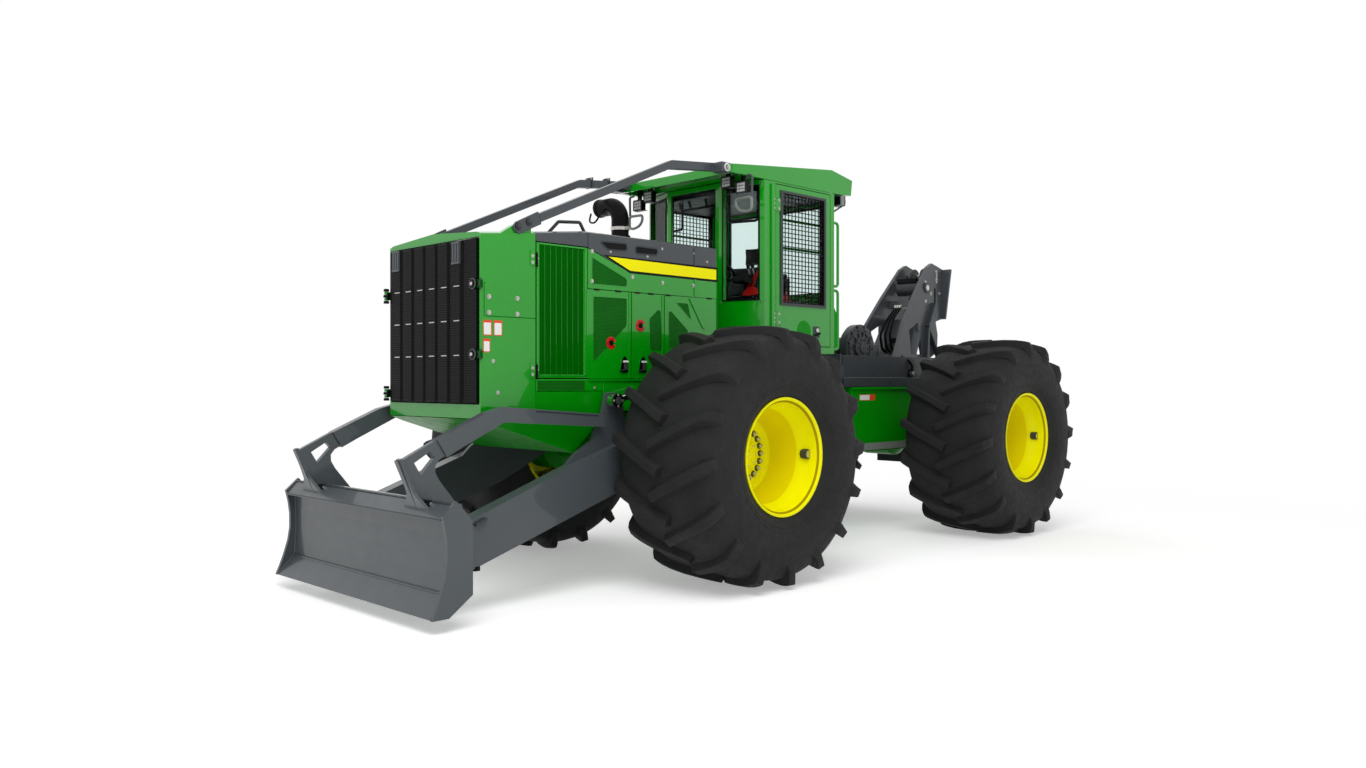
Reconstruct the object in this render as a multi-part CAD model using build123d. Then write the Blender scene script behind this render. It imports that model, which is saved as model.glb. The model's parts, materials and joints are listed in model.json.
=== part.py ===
"""Wheeled log skidder with a front blade, a winch and a rear arch, hinged in the middle.

Millimetres.  +Z is up, the front faces -Y and +X is the machine's own left side.
The origin is on the ground, on the centre plane, below the middle of the overall length.
Stations along Y are measured from the middle of the wheelbase while a part is shaped,
and keep() moves the finished part by ORIGIN_SHIFT.
"""
from build123d import *
import math
import os

os.makedirs("parts", exist_ok=True)

# Overall length, from the blade's cutting edge to the tow eyes
FRONT_END = -4330
REAR_END = 2850
ORIGIN_SHIFT = -(FRONT_END + REAR_END) / 2

# Wheels and axles
WHEELBASE = 3620
AXLE_Y = WHEELBASE / 2
AXLE_Z = 945
WHEEL_X = 1249
TYRE_R = 945
TYRE_QUARTER = (250, 941)
TYRE_SHOULDER = (440, 910)
TYRE_HALF = 463
RIM_HALF = 405
RIM_R = 426
RIM_BARREL_R = 400
RIM_WELL_R = 345
RIM_WALL = 16
WHEEL_DISC_X = -99
WHEEL_FACE_X = 0
WHEEL_FACE_R = 268
WHEEL_FACE_THICK = 24
WHEEL_BORE_R = 100
WHEEL_BOLT_CIRCLE_R = 185
WHEEL_BOLTS = 20
WHEEL_BOLT_R = 16
WHEEL_BOLT_HIGH = 28
AXLE_TUBE_R = 125
AXLE_BOWL_R = 235
HUB_R = 230

# Hull and hood
HULL_HALF = 584
SKIN = 16
SEAM = 4
HULL_FRONT = -3650
NOSE_REAR = -3200
LOUVRE_REAR = -2740
HOOD_REAR = -1390
NOSE_FLOOR = 1236
GRILLE_LOW = 1330
GRILLE_TOP = 2430
GRILLE_BORDER = 30
EXHAUST_FOOT = (-280, -1665)
EXHAUST_R = 74
EXHAUST_TURN_Z = 2978
HULL_TOPS = [(HULL_FRONT, 2455), (NOSE_REAR, 2500), (LOUVRE_REAR, 2550), (HOOD_REAR, 2550)]
HOOD_BAND_FRONT_Z = 2447
HOOD_BAND_REAR_Z = 2300
HOOD_BAND_SLANT_Y = -2337
HOOD_ROUGH_LOW = 2000
COVER_LOW = 1502
COVER_SEAM_Z = 2150
COVER_SEAMS_Y = [-2320, -1980]
INSET_DEPTH = 4
COVER_INSETS = [
    [(-2690, 2098), (-2361, 2099), (-2362, 1894), (-2662, 1637), (-2690, 1630)],
    [(-2138, 1956), (-2043, 2034), (-2012, 2020), (-1998, 1716), (-2127, 1712)],
    [(-1933, 2020), (-1905, 2029), (-1714, 1880), (-1714, 1738), (-1933, 1738)],
    [(-1852, 2096), (-1717, 2097), (-1680, 1961)],
    [(-2700, 2379), (-2361, 2244), (-2361, 2184), (-2700, 2184)],
]
HOOD_SLOTS = [
    [(-2621, 2497), (-2365, 2502), (-2365, 2453), (-2552, 2448)],
    [(-2273, 2494), (-2049, 2492), (-2054, 2448), (-2273, 2442)],
]

# Limb risers
RISER_INNER = 526
RISER_OUTER = 588
ROOF_HALF = 695

# Cab
CAB_FRONT = -1070
CAB_CORNER = -930
CAB_REAR = 30
CAB_HALF_FRONT = 310
CAB_HALF = 700
CAB_LOW = 1725
CAB_SILL = 2160
CAB_TOP = 3165
CAB_WALL = 40
COWL_HALF = 300
COWL_TOP = 2500
DOOR_FRONT = -790
DOOR_REAR = -25
DOOR_LOW = 1790
DOOR_THICK = 42
LAMPS = [(476, -1130, 3140), (630, -1115, 3080), (640, 170, 3115)]

DOOR_WINDOW = ((-710, -116), (2140, 3090))
REAR_WINDOW = ((-560, 560), (2270, 3060))
WINDSCREEN_HALF = 272
PANE = 8

# Chassis rails
RAIL_INNER = 380
RAIL_OUTER = 420
RAIL_FRONT = -3380
RAIL_REAR = -1350
RAIL_LOW = 1210
RAIL_DEEP = 1110
RAIL_TOP = 1498

# Middle hinge
HINGE_Y = 150
HITCH_PLATES_Z = [(660, 710), (1390, 1440)]
HITCH_R = 150
HITCH_PIN_R = 50
STEER_Z = 1040
STEER_FRONT = (340, -1150)
STEER_REAR = (340, 150)
STEER_BARREL_R = 45

# Rear frame, deck and arch
REAR_HALF = 450
REAR_START = 620
REAR_STOP = 2650
REAR_CROSS = 40
REAR_LOW = 800
REAR_HIGH = 1424
DECK_LOW = 1428
DECK_TOP = 1730
DECK_FRONT = 500
DECK_REAR = 2500
WINCH_Y = 950
WINCH_Z = 1810
WINCH_END_R = 232
WINCH_END_X = 256
DRUM_HALF = 245
DRUM_R = 110
DRUM_FLANGE_R = 205
DRUM_FLANGE = 20
DRUM_SHAFT_R = 40
ARCH_HALF_LOW = 290
ARCH_HALF_HIGH = 182
ARCH_TOP = 2800
ARCH_PLATE = 40
ROLLER = (2341, 2499)
ROLLER_R = 78
ROLLER_HALF = 128
TOW_EYE = (2790, 720)
TOW_EYE_X = (280, 320)
TOW_EYE_R = 32

# Blade and its push arms
BLADE_HALF = 1060
BLADE_END = 27
ARM_INNER = 630
ARM_OUTER = 750
CYLINDER_X = 715
LIFT_BARREL_R = 46
CYLINDER_BORE_R = 27
CYLINDER_ROD_R = 25
LIFT_EYE = (-2600, 1345)
LIFT_ANCHOR = (-1500, 1565)

Y_UP_Z = Plane(origin=(0, 0, 0), x_dir=(0, 1, 0), z_dir=(1, 0, 0))


def block(x_range, y_range, z_range):
    """Rectangular block between two corners."""
    size = [high - low for low, high in (x_range, y_range, z_range)]
    middle = [(high + low) / 2 for low, high in (x_range, y_range, z_range)]
    return Pos(*middle) * Box(*size)


def side_profile(points, x_low, x_high):
    """Plate whose outline is given as (Y, Z) points, between two X planes."""
    face = Y_UP_Z.offset(x_low) * Polygon(*points, align=None)
    return extrude(face, amount=x_high - x_low, dir=(1, 0, 0))


def plan_profile(points, z_low, z_high):
    """Plate whose outline is given as (X, Y) points, between two heights."""
    face = Plane.XY.offset(z_low) * Polygon(*points, align=None)
    return extrude(face, amount=z_high - z_low, dir=(0, 0, 1))


def rod(start, end, radius):
    """Round bar from one point to another."""
    axis = Vector(*end) - Vector(*start)
    plane = Plane(origin=start, z_dir=axis)
    return extrude(plane * Circle(radius), amount=axis.length)


def tube(start, end, radius, bore):
    """Round tube from one point to another."""
    axis = Vector(*end) - Vector(*start)
    plane = Plane(origin=start, z_dir=axis)
    return extrude(plane * (Circle(radius) - Circle(bore)), amount=axis.length)


def bent_bar(points, radius, bend):
    """Round bar that follows straight runs with rounded bends."""
    path = FilletPolyline(*points, radius=bend)
    plane = Plane(origin=points[0], z_dir=path % 0)
    return sweep(plane * Circle(radius), path=path)


def mirrored(part):
    """The same part on the other side of the centre plane."""
    return mirror(part, about=Plane.YZ)


def both_sides(part):
    """A part and its mirror image, as solids that do not touch."""
    return Compound(children=solids_of(part) + solids_of(mirrored(part)))


def solids_of(part):
    """List of the solids that a shape holds."""
    return [Solid(solid.wrapped) for solid in part.solids()]


def keep(name, part):
    """Write one node to its file, measured from the final origin."""
    solids = solids_of(Pos(0, ORIGIN_SHIFT, 0) * part)
    shape = solids[0] if len(solids) == 1 else Compound(children=solids)
    export_step(shape, f"parts/{name}.step")


# Hull skin -----------------------------------------------------------------

def hull_top(y):
    """Height of the hull's upper side edge at a station along the machine."""
    for (y0, z0), (y1, z1) in zip(HULL_TOPS, HULL_TOPS[1:]):
        if y0 <= y <= y1:
            return z0 + (z1 - z0) * (y - y0) / (y1 - y0)
    return HULL_TOPS[-1][1]


def hull_section(y, low, inset):
    """Cross-section of the hull: upright sides and a crowned top."""
    half = HULL_HALF - inset
    knee = half - 44
    top = hull_top(y) - inset
    points = [(-half, low), (half, low), (half, top), (knee, top + 15)]
    points += [(0, top + 50), (-knee, top + 15), (-half, top)]
    plane = Plane(origin=(0, y, 0), x_dir=(1, 0, 0), z_dir=(0, -1, 0))
    return plane * Polygon(*points, align=None)


def hull(y_low, y_high, low, inset=0):
    """Solid of the hull between two stations."""
    stations = [y for y, _ in HULL_TOPS if y_low < y < y_high]
    sections = [hull_section(y, low, inset) for y in [y_low] + stations + [y_high]]
    return loft(sections, ruled=True)


def nose_frame():
    """Front surround of the radiator, open at the front and the rear."""
    outer = hull(HULL_FRONT, NOSE_REAR - SEAM, NOSE_FLOOR)
    inner = hull(HULL_FRONT, NOSE_REAR - SEAM, GRILLE_LOW, inset=SKIN)
    half = HULL_HALF - SKIN
    below = block((-half, half), (HULL_FRONT + SKIN, NOSE_REAR), (NOSE_FLOOR - 1, GRILLE_LOW + 1))
    front = (HULL_FRONT, HULL_FRONT + SKIN)
    brow = outer & block((-HULL_HALF, HULL_HALF), front, (GRILLE_TOP + 6, 2600))
    saddle = [(-3500, 2464), (-3385, 2535), (-3232, 2612), (-3232, 2480)]
    saddles = both_sides(side_profile(saddle, RISER_INNER - 6, RISER_OUTER - 15))
    return outer - inner - below + brow + saddles


def hood_top():
    """Grey band over the engine: the crowned top and its short sides."""
    shell = hull(NOSE_REAR, HOOD_REAR, HOOD_ROUGH_LOW)
    shell -= hull(NOSE_REAR, HOOD_REAR, HOOD_ROUGH_LOW - 100, inset=SKIN)
    wide = (-HULL_HALF, HULL_HALF)
    band = [(NOSE_REAR, HOOD_BAND_FRONT_Z), (LOUVRE_REAR, HOOD_BAND_FRONT_Z)]
    band += [(HOOD_BAND_SLANT_Y, HOOD_BAND_REAR_Z), (HOOD_REAR, HOOD_BAND_REAR_Z)]
    band += [(HOOD_REAR, 2700), (NOSE_REAR, 2700)]
    hood = shell & side_profile(band, *wide)
    for outline in HOOD_SLOTS:
        hood -= both_sides(side_profile(outline, HULL_HALF - INSET_DEPTH, HULL_HALF + 1))
    return hood


def lower_hull():
    """Green pan below the nose and the louvres, with its sloping floor."""
    outline = [(HULL_FRONT, 1232), (-3540, 1190), (-2870, 975), (-2680, 1146), (-2600, 1264)]
    outline += [(-2600, 1410), (NOSE_REAR, 1410), (NOSE_REAR, 1232)]
    outer = side_profile(outline, -HULL_HALF, HULL_HALF)
    pan = [(-3500, 1192), (-2872, 993), (-2694, 1158), (-2590, 1318), (-2590, 1500), (-3500, 1500)]
    inner = side_profile(pan, SKIN - HULL_HALF, HULL_HALF - SKIN)
    rail_gaps = both_sides(block((370, 430), (-2720, -2580), (1100, 1500)))
    return outer - inner - rail_gaps


def engine_covers():
    """Latched covers along the engine on both sides, with the fixed panel above them."""
    bounds = [LOUVRE_REAR] + COVER_SEAMS_Y + [HOOD_REAR]
    wall = (HULL_HALF - SKIN, HULL_HALF)
    covers = []
    for front, rear in zip(bounds, bounds[1:]):
        covers.append(block(wall, (front + SEAM, rear - SEAM), (COVER_LOW, COVER_SEAM_Z - SEAM)))
    fixed = [(LOUVRE_REAR + SEAM, COVER_SEAM_Z), (LOUVRE_REAR + SEAM, HOOD_BAND_FRONT_Z - 2 * SEAM)]
    fixed += [(HOOD_BAND_SLANT_Y, HOOD_BAND_REAR_Z - SEAM), (HOOD_REAR, HOOD_BAND_REAR_Z - SEAM)]
    fixed += [(HOOD_REAR, COVER_SEAM_Z)]
    covers.append(side_profile(fixed, *wall))
    pockets = Part()
    for outline in COVER_INSETS:
        pockets += side_profile(outline, HULL_HALF - INSET_DEPTH, HULL_HALF + 1)
    left = Compound(children=[solid for cover in covers for solid in solids_of(cover - pockets)])
    return both_sides(left)


def side_skirt():
    """Fixed side plates below the covers, down to the chassis."""
    plate = block((HULL_HALF - SKIN, HULL_HALF), (-2596, HOOD_REAR), (1264, COVER_LOW - SEAM))
    plate -= block((500, 600), (-1625, -1375), (1430, COVER_LOW))
    low_louvre = block((HULL_HALF - SKIN, HULL_HALF), (NOSE_REAR + SEAM, -2600), (1414, COVER_LOW - SEAM))
    return both_sides(plate) + both_sides(low_louvre)


def louvre_door():
    """Left louvred side door, hinged along its front edge."""
    wall = (HULL_HALF - SKIN, HULL_HALF)
    frame = block(wall, (NOSE_REAR + 8, LOUVRE_REAR - SEAM), (COVER_LOW + SEAM, 2440))
    recess = block((HULL_HALF - 8, HULL_HALF + 1), (NOSE_REAR + 30, LOUVRE_REAR - 28), (COVER_LOW + 28, 2426))
    return frame - recess


def grille_door():
    """Radiator grille on its hinged frame, folded into upright columns."""
    half = HULL_HALF - SKIN - 6
    inner = half - GRILLE_BORDER
    frame = block((-half, half), (HULL_FRONT - 25, HULL_FRONT + 20), (GRILLE_LOW + 6, GRILLE_TOP))
    hollow = (GRILLE_LOW + 6 + GRILLE_BORDER, GRILLE_TOP - GRILLE_BORDER)
    pocket = block((-inner, inner), (HULL_FRONT, HULL_FRONT + 30), hollow)
    return frame - pocket


def radiator():
    """Radiator core behind the grille."""
    return block((-520, 520), (-3560, -3460), (1340, 2380))


def engine_block():
    """Engine as one plain heavy block."""
    return block((-330, 330), (-2900, -1600), (1500, 2300))


# Chassis -------------------------------------------------------------------

def front_chassis():
    """Front rails, rear box, hinge plates and the brackets for the push arms."""
    rail = (RAIL_INNER, RAIL_OUTER)
    between = (-RAIL_INNER - 1, RAIL_INNER + 1)
    across = (-RAIL_OUTER, RAIL_OUTER)
    rails = both_sides(block(rail, (RAIL_FRONT, RAIL_REAR), (RAIL_LOW, RAIL_TOP)))
    rails += both_sides(block(rail, (-2540, RAIL_REAR), (RAIL_DEEP, RAIL_LOW + 1)))
    parts = [block(between, (RAIL_FRONT, RAIL_FRONT + 60), (RAIL_LOW, RAIL_TOP))]
    parts += [block(between, (-2540, -2480), (RAIL_DEEP, RAIL_TOP))]
    parts += [block(across, (-1600, RAIL_REAR), (RAIL_DEEP, RAIL_TOP))]
    parts += [block((-220, 220), (-1560, -420), (HITCH_PLATES_Z[0][0], HITCH_PLATES_Z[1][1]))]
    parts += [block(across, (RAIL_REAR - 1, -900), (1300, RAIL_TOP))]
    parts += solids_of(both_sides(block((300, RAIL_OUTER), (-1920, -1700), (RAIL_DEEP, 1240))))
    for low, high in HITCH_PLATES_Z:
        parts.append(block((-HITCH_R, HITCH_R), (-430, HINGE_Y), (low, high)))
        parts.append(Pos(0, HINGE_Y, (low + high) / 2) * Cylinder(HITCH_R, high - low))
    bracket = [(-2330, 1250), (-2000, 1250), (-2080, 920), (-2280, 920)]
    parts += solids_of(both_sides(side_profile(bracket, RAIL_OUTER - 1, ARM_INNER - 8)))
    anchor = [(-1620, 1440), (-1380, 1440), (-1440, 1640), (-1560, 1640)]
    parts += solids_of(both_sides(side_profile(anchor, HULL_HALF + 4, 640)))
    parts += solids_of(both_sides(block((RAIL_OUTER - 1, HULL_HALF + 5), (-1620, -1380), (1440, RAIL_TOP))))
    chassis = Part() + rails
    for part in parts:
        chassis += part
    low = HITCH_PLATES_Z[0][0] - 1
    high = HITCH_PLATES_Z[1][1] + 1
    return chassis - rod((0, HINGE_Y, low), (0, HINGE_Y, high), HITCH_PIN_R + 0.05)


def axle(y):
    """Axle housing with its centre bowl and two hub flanges."""
    reach = WHEEL_X + WHEEL_DISC_X - 16
    half = [(reach, 0), (reach, HUB_R), (reach - 260, HUB_R), (reach - 300, AXLE_TUBE_R)]
    half += [(300, AXLE_TUBE_R), (170, AXLE_BOWL_R)]
    points = half + [(-x, r) for x, r in reversed(half)]
    housing = revolve(Plane.XY * Polygon(*points, align=None), axis=Axis.X, revolution_arc=360)
    pads = both_sides(block((305, 400), (y - 110, y + 110), (AXLE_Z + 60, RAIL_DEEP - 1)))
    return Pos(0, y, AXLE_Z) * housing + pads


def tyre():
    """Tyre as the closed ring that its lugs sweep, round the wheel's axis."""
    half = [(372, RIM_BARREL_R + 2), (386, RIM_R + 2), (402, RIM_R + 6), (440, 500)]
    half += [(TYRE_HALF, 620), (TYRE_HALF, 740), TYRE_SHOULDER, TYRE_QUARTER, (0, TYRE_R)]
    points = half + [(-x, r) for x, r in reversed(half[:-1])]
    face = Plane.XY * Polygon(*points, align=None)
    return revolve(face, axis=Axis.X, revolution_arc=360)


def rim():
    """Deep dished rim: outer lip, barrel, coned dish, wheel disc, hub and bolt heads."""
    seat = RIM_BARREL_R - RIM_WALL
    back = WHEEL_FACE_X - WHEEL_FACE_THICK
    hub = WHEEL_DISC_X - 12
    hub_r = WHEEL_BORE_R + 21
    lip = [(RIM_HALF, RIM_R), (RIM_HALF, seat + 20), (RIM_HALF - 20, seat), (318, seat)]
    lip_back = [(-x, r) for x, r in reversed(lip)]
    points = lip + [(228, RIM_WELL_R), (WHEEL_FACE_X, WHEEL_FACE_R), (WHEEL_FACE_X, WHEEL_BORE_R)]
    points += [(hub, WHEEL_BORE_R), (hub, hub_r), (back, hub_r), (back, WHEEL_FACE_R + 9)]
    points += [(178, RIM_WELL_R), (-228, RIM_WELL_R)] + lip_back
    outside = [(392, RIM_R), (378, RIM_BARREL_R), (310, RIM_BARREL_R), (218, RIM_WELL_R + RIM_WALL)]
    points += [(-x, r) for x, r in outside] + outside[::-1]
    face = Plane.XY * Polygon(*points, align=None)
    wheel = revolve(face, axis=Axis.X, revolution_arc=360)
    wheel += rod((hub, 0, 0), (WHEEL_FACE_X, 0, 0), WHEEL_BORE_R + 1)
    for step in range(WHEEL_BOLTS):
        angle = 2 * math.pi * step / WHEEL_BOLTS
        y = WHEEL_BOLT_CIRCLE_R * math.cos(angle)
        z = WHEEL_BOLT_CIRCLE_R * math.sin(angle)
        wheel += rod((WHEEL_FACE_X - 1, y, z), (WHEEL_FACE_X + WHEEL_BOLT_HIGH, y, z), WHEEL_BOLT_R)
    return wheel


# Cab -----------------------------------------------------------------------

def cab_plan(inset=0):
    """Outline of the cab seen from above."""
    outline = [(CAB_HALF_FRONT - inset, CAB_FRONT + inset), (CAB_HALF - inset, CAB_CORNER + inset / 2)]
    outline += [(CAB_HALF - inset, CAB_REAR - inset)]
    return outline + [(-x, y) for x, y in reversed(outline)]


def cab_base():
    """Cab tub: floor, lower walls and the front wall up to the windscreen."""
    shell = plan_profile(cab_plan(), CAB_LOW, CAB_SILL)
    shell -= plan_profile(cab_plan(CAB_WALL), CAB_LOW + CAB_WALL, CAB_SILL + 1)
    for side in (-1, 1):
        xs = sorted((side * (CAB_HALF - DOOR_THICK - 6), side * (CAB_HALF + 1)))
        shell -= block(xs, (DOOR_FRONT, DOOR_REAR), (DOOR_LOW - 6, CAB_SILL + 1))
    half = WINDSCREEN_HALF - 1
    scuttle = block((-half, half), (CAB_FRONT, CAB_FRONT + CAB_WALL), (CAB_SILL - 1, COWL_TOP))
    cowl = block((-COWL_HALF, COWL_HALF), (HOOD_REAR + 8, CAB_FRONT + 1), (1900, CAB_SILL))
    cowl += block((-COWL_HALF, COWL_HALF), (HOOD_REAR + 8, CAB_FRONT - 1), (CAB_SILL - 1, COWL_TOP))
    return shell + scuttle + cowl


def cab_frame():
    """Posts, header rails and the rear wall with its window."""
    shell = plan_profile(cab_plan(), CAB_SILL, CAB_TOP)
    shell -= plan_profile(cab_plan(CAB_WALL), CAB_SILL - 1, CAB_TOP + 1)
    for side in (-1, 1):
        xs = sorted((side * 500, side * (CAB_HALF + 1)))
        shell -= block(xs, (DOOR_FRONT, DOOR_REAR), (CAB_SILL - 1, CAB_TOP - 14))
        quarter = [(side * 340, -1100), (side * 660, -985), (side * 660, -850), (side * 340, -970)]
        shell -= plan_profile(quarter, CAB_SILL - 1, CAB_TOP - 40)
    front = (CAB_FRONT - 1, CAB_FRONT + 60)
    shell -= block((-WINDSCREEN_HALF, WINDSCREEN_HALF), front, (CAB_SILL - 1, CAB_TOP - 40))
    across, upright = REAR_WINDOW
    shell -= block(across, (CAB_REAR - 60, CAB_REAR + 1), upright)
    return shell


def cab_roof():
    """Roof: thin at the front, deep at the rear, with an overhang behind."""
    outline = [(-1320, 3170), (-1320, 3240), (0, 3375), (310, 3320), (290, 3180), (60, 3170)]
    roof = side_profile(outline, -ROOF_HALF, ROOF_HALF)
    roof -= block((40 - ROOF_HALF, ROOF_HALF - 40), (-1300, -1085), (3169, 3214))
    horn = [(-1300, 3171), (-1440, 3165), (-1440, 3238), (-1300, 3239)]
    return roof + both_sides(side_profile(horn, RISER_OUTER, ROOF_HALF - 5))


def cab_glass():
    """Windscreen, quarter windows and rear window."""
    half = WINDSCREEN_HALF - 2
    windscreen = block((-half, half), (CAB_FRONT + 14, CAB_FRONT + 14 + PANE), (COWL_TOP + 2, CAB_TOP - 42))
    (x_low, x_high), (z_low, z_high) = REAR_WINDOW
    rear_y = (CAB_REAR - 16 - PANE, CAB_REAR - 16)
    rear = block((x_low + 2, x_high - 2), rear_y, (z_low + 2, z_high - 2))
    quarter = [(342, -1043), (658, -930), (658, -922), (342, -1035)]
    left = plan_profile(quarter, CAB_SILL + 1, CAB_TOP - 42)
    return Compound(children=[windscreen, rear] + solids_of(both_sides(left)))


def cab_door():
    """Left cab door with its window cut."""
    skin = (CAB_HALF - DOOR_THICK, CAB_HALF)
    door = block(skin, (DOOR_FRONT + 6, DOOR_REAR - 6), (DOOR_LOW, CAB_TOP - 20))
    return door - block((CAB_HALF - 100, CAB_HALF + 100), *DOOR_WINDOW)


def door_window():
    """Window pane of the left cab door."""
    middle = CAB_HALF - DOOR_THICK / 2
    sides = [(low + 1, high - 1) for low, high in DOOR_WINDOW]
    return block((middle - 3, middle + 3), *sides)


def seat_pad():
    """Seat cushion, back and headrest."""
    cushion = block((-250, 250), (-700, -275), (2130, 2250))
    back = side_profile([(-375, 2252), (-255, 2252), (-155, 2540), (-245, 2540)], -240, 240)
    head = block((-130, 130), (-250, -160), (2560, 2720))
    return Compound(children=solids_of(cushion) + solids_of(back) + solids_of(head))


def seat_base():
    """Pedestal that carries the seat."""
    column = block((-180, 180), (-630, -300), (CAB_LOW + CAB_WALL, 2090))
    tray = block((-230, 230), (-680, -270), (2089, 2129))
    rear = [(-271, 2090), (-223, 2090), (-223, 2252), (-98, 2600), (-128, 2600), (-250, 2252)]
    spine = side_profile(rear, -30, 30)
    return column + tray + spine


def controls():
    """Dash column, steering wheel and side console."""
    column = side_profile([(-1010, 1766), (-920, 1766), (-757, 2452), (-815, 2478)], -60, 60)
    wheel = Pos(0, -780, 2470) * (Rot(-25, 0, 0) * Torus(180, 16))
    spoke = Pos(0, -780, 2466) * (Rot(-25, 0, 0) * Box(350, 30, 12))
    dash = block((-250, 250), (-1020, -945), (2200, 2470))
    console = block((300, 440), (-740, -280), (1766, 2400))
    return Compound(children=solids_of(column + spoke + wheel) + solids_of(dash) + solids_of(console))


def handrails():
    """Grab rails at the rear corners of the cab."""
    x = CAB_HALF - 20
    rails = []
    for low, high in ((2340, 2910), (1770, 2300)):
        points = [(x, CAB_REAR, low), (x, 110, low), (x, 110, high), (x, CAB_REAR, high)]
        rails.append(bent_bar(points, 13, 30))
    return both_sides(Compound(children=rails))


def work_lights():
    """Lamp clusters beside the roof corners, front and rear, with their brackets."""
    lamps = []
    for x, y, z in LAMPS:
        lamps.append(block((x - 55, x + 55), (y - 38, y + 38), (z - 50, z + 50)))
    (inner_x, inner_y, inner_z), outer, rear = LAMPS
    lamps.append(rod((inner_x, inner_y, inner_z + 50), (inner_x, inner_y, 3213), 12))
    lamps.append(rod((outer[0], outer[1], outer[2] + 50), (outer[0], outer[1], 3213), 12))
    lamps.append(rod((rear[0], rear[1], rear[2] + 50), (rear[0], rear[1], 3174), 12))
    return both_sides(Compound(children=lamps))


def limb_risers():
    """Sloping box tubes from the nose up to the roof that push branches aside."""
    tube_side = [(-3228, 2613), (-1894, 3198), (-1330, 3256), (-1330, 3192), (-1905, 3130)]
    tube_side += [(-3200, 2562), (-3228, 2551)]
    bar = side_profile(tube_side, RISER_INNER, RISER_OUTER)
    cheek = [(-3385, 2506), (-3391, 2532), (-3370, 2560), (-3183, 2651), (-3155, 2566), (-3347, 2478)]
    bar += side_profile(cheek, RISER_OUTER - 14, RISER_OUTER + 2)
    return both_sides(bar - hull(HULL_FRONT, HOOD_REAR, HOOD_ROUGH_LOW))


def exhaust_stack():
    """Exhaust pipe with a flared foot and a turned outlet."""
    x, y = EXHAUST_FOOT
    foot = Pos(x, y, 2640) * Cone(125, 80, 140)
    pipe = bent_bar([(x, y, 2650), (x, y, EXHAUST_TURN_Z), (x - 270, y, EXHAUST_TURN_Z)], EXHAUST_R, 130)
    return foot + pipe - hull(LOUVRE_REAR, HOOD_REAR, HOOD_ROUGH_LOW)


def hood_handle():
    """Grab handle on top of the hood."""
    points = [(470, -3020, 2520), (470, -2915, 2622), (470, -2720, 2638), (470, -2660, 2545)]
    return bent_bar(points, 12, 20) - hull(NOSE_REAR, HOOD_REAR, HOOD_ROUGH_LOW)


def cab_steps():
    """Boarding steps behind the front wheels, hung from the cab tub."""
    sides = [block((600, 940), (y, y + 12), (820, 1722)) for y in (-760, -200)]
    treads = [block((700, 940), (-749, -199), (z, z + 30)) for z in (820, 1110, 1400)]
    box = block((600, 700), (-749, -199), (900, 1724))
    part = Part() + box
    for piece in sides + treads:
        part += piece
    return both_sides(part)


# Rear frame ----------------------------------------------------------------

def rear_frame():
    """Rear frame: side plates, cross plates and the hinge tongue."""
    outline = [(REAR_START, REAR_LOW), (1570, REAR_LOW), (1640, RAIL_DEEP + 2), (1980, RAIL_DEEP + 2)]
    outline += [(2050, REAR_LOW), (REAR_STOP, REAR_LOW), (REAR_STOP, REAR_HIGH), (REAR_START, REAR_HIGH)]
    frame = Part() + both_sides(side_profile(outline, REAR_HALF - 30, REAR_HALF))
    wide = (-REAR_HALF, REAR_HALF)
    for y in (REAR_START, 1350, REAR_STOP - REAR_CROSS):
        frame += block(wide, (y, y + REAR_CROSS), (REAR_LOW, REAR_HIGH))
    frame += block(wide, (REAR_START, 1350 + REAR_CROSS), (REAR_LOW, REAR_LOW + 20))
    frame += both_sides(block((300, REAR_HALF - 20), (1700, 1920), (RAIL_DEEP, 1240)))
    tongue = [(-110, HINGE_Y), (110, HINGE_Y), (300, 640), (-300, 640)]
    frame += plan_profile(tongue, 720, 1380)
    frame += Pos(0, HINGE_Y, 1050) * Cylinder(HITCH_R - 25, 660)
    frame += Pos(0, HINGE_Y, 1050) * Cylinder(HITCH_PIN_R, 860)
    ear = plan_profile([(90, 90), (430, 90), (430, 210), (90, 210)], 1, 31)
    for low in (STEER_Z - 66, STEER_Z + 36):
        frame += both_sides(Pos(0, 0, low - 1) * ear)
    return frame


def rear_deck():
    """Deck box over the rear frame, with a well for the winch drum."""
    deck = block((-REAR_HALF, REAR_HALF), (DECK_FRONT, DECK_REAR), (DECK_LOW + 90, DECK_TOP))
    ledge = block((-REAR_HALF - 12, REAR_HALF + 12), (DECK_FRONT, DECK_REAR), (DECK_LOW, DECK_LOW + 91))
    well = block((-250, 250), (WINCH_Y - 240, WINCH_Y + 240), (DECK_LOW + 120, DECK_TOP + 1))
    return deck + ledge - well


def winch_housing():
    """Round-topped end housings of the winch, standing on the deck."""
    foot = Pos(0, -WINCH_END_R / 2) * Rectangle(2 * WINCH_END_R, WINCH_END_R)
    plane = Plane(origin=(WINCH_END_X, WINCH_Y, WINCH_Z), x_dir=(0, 1, 0), z_dir=(1, 0, 0))
    end = extrude(plane * (Circle(WINCH_END_R) + foot), amount=80, dir=(1, 0, 0))
    end -= block((200, 400), (0, 2000), (1000, DECK_TOP))
    end -= rod((WINCH_END_X - 1, WINCH_Y, WINCH_Z), (300, WINCH_Y, WINCH_Z), DRUM_SHAFT_R + 2)
    return both_sides(end)


def winch_drum():
    """Cable drum with its two flanges and stub shafts."""
    drum = rod((-DRUM_HALF, WINCH_Y, WINCH_Z), (DRUM_HALF, WINCH_Y, WINCH_Z), DRUM_R)
    for x in (-DRUM_HALF, DRUM_HALF - DRUM_FLANGE):
        drum += rod((x, WINCH_Y, WINCH_Z), (x + DRUM_FLANGE, WINCH_Y, WINCH_Z), DRUM_FLANGE_R)
    return drum + rod((-295, WINCH_Y, WINCH_Z), (295, WINCH_Y, WINCH_Z), DRUM_SHAFT_R)


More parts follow.
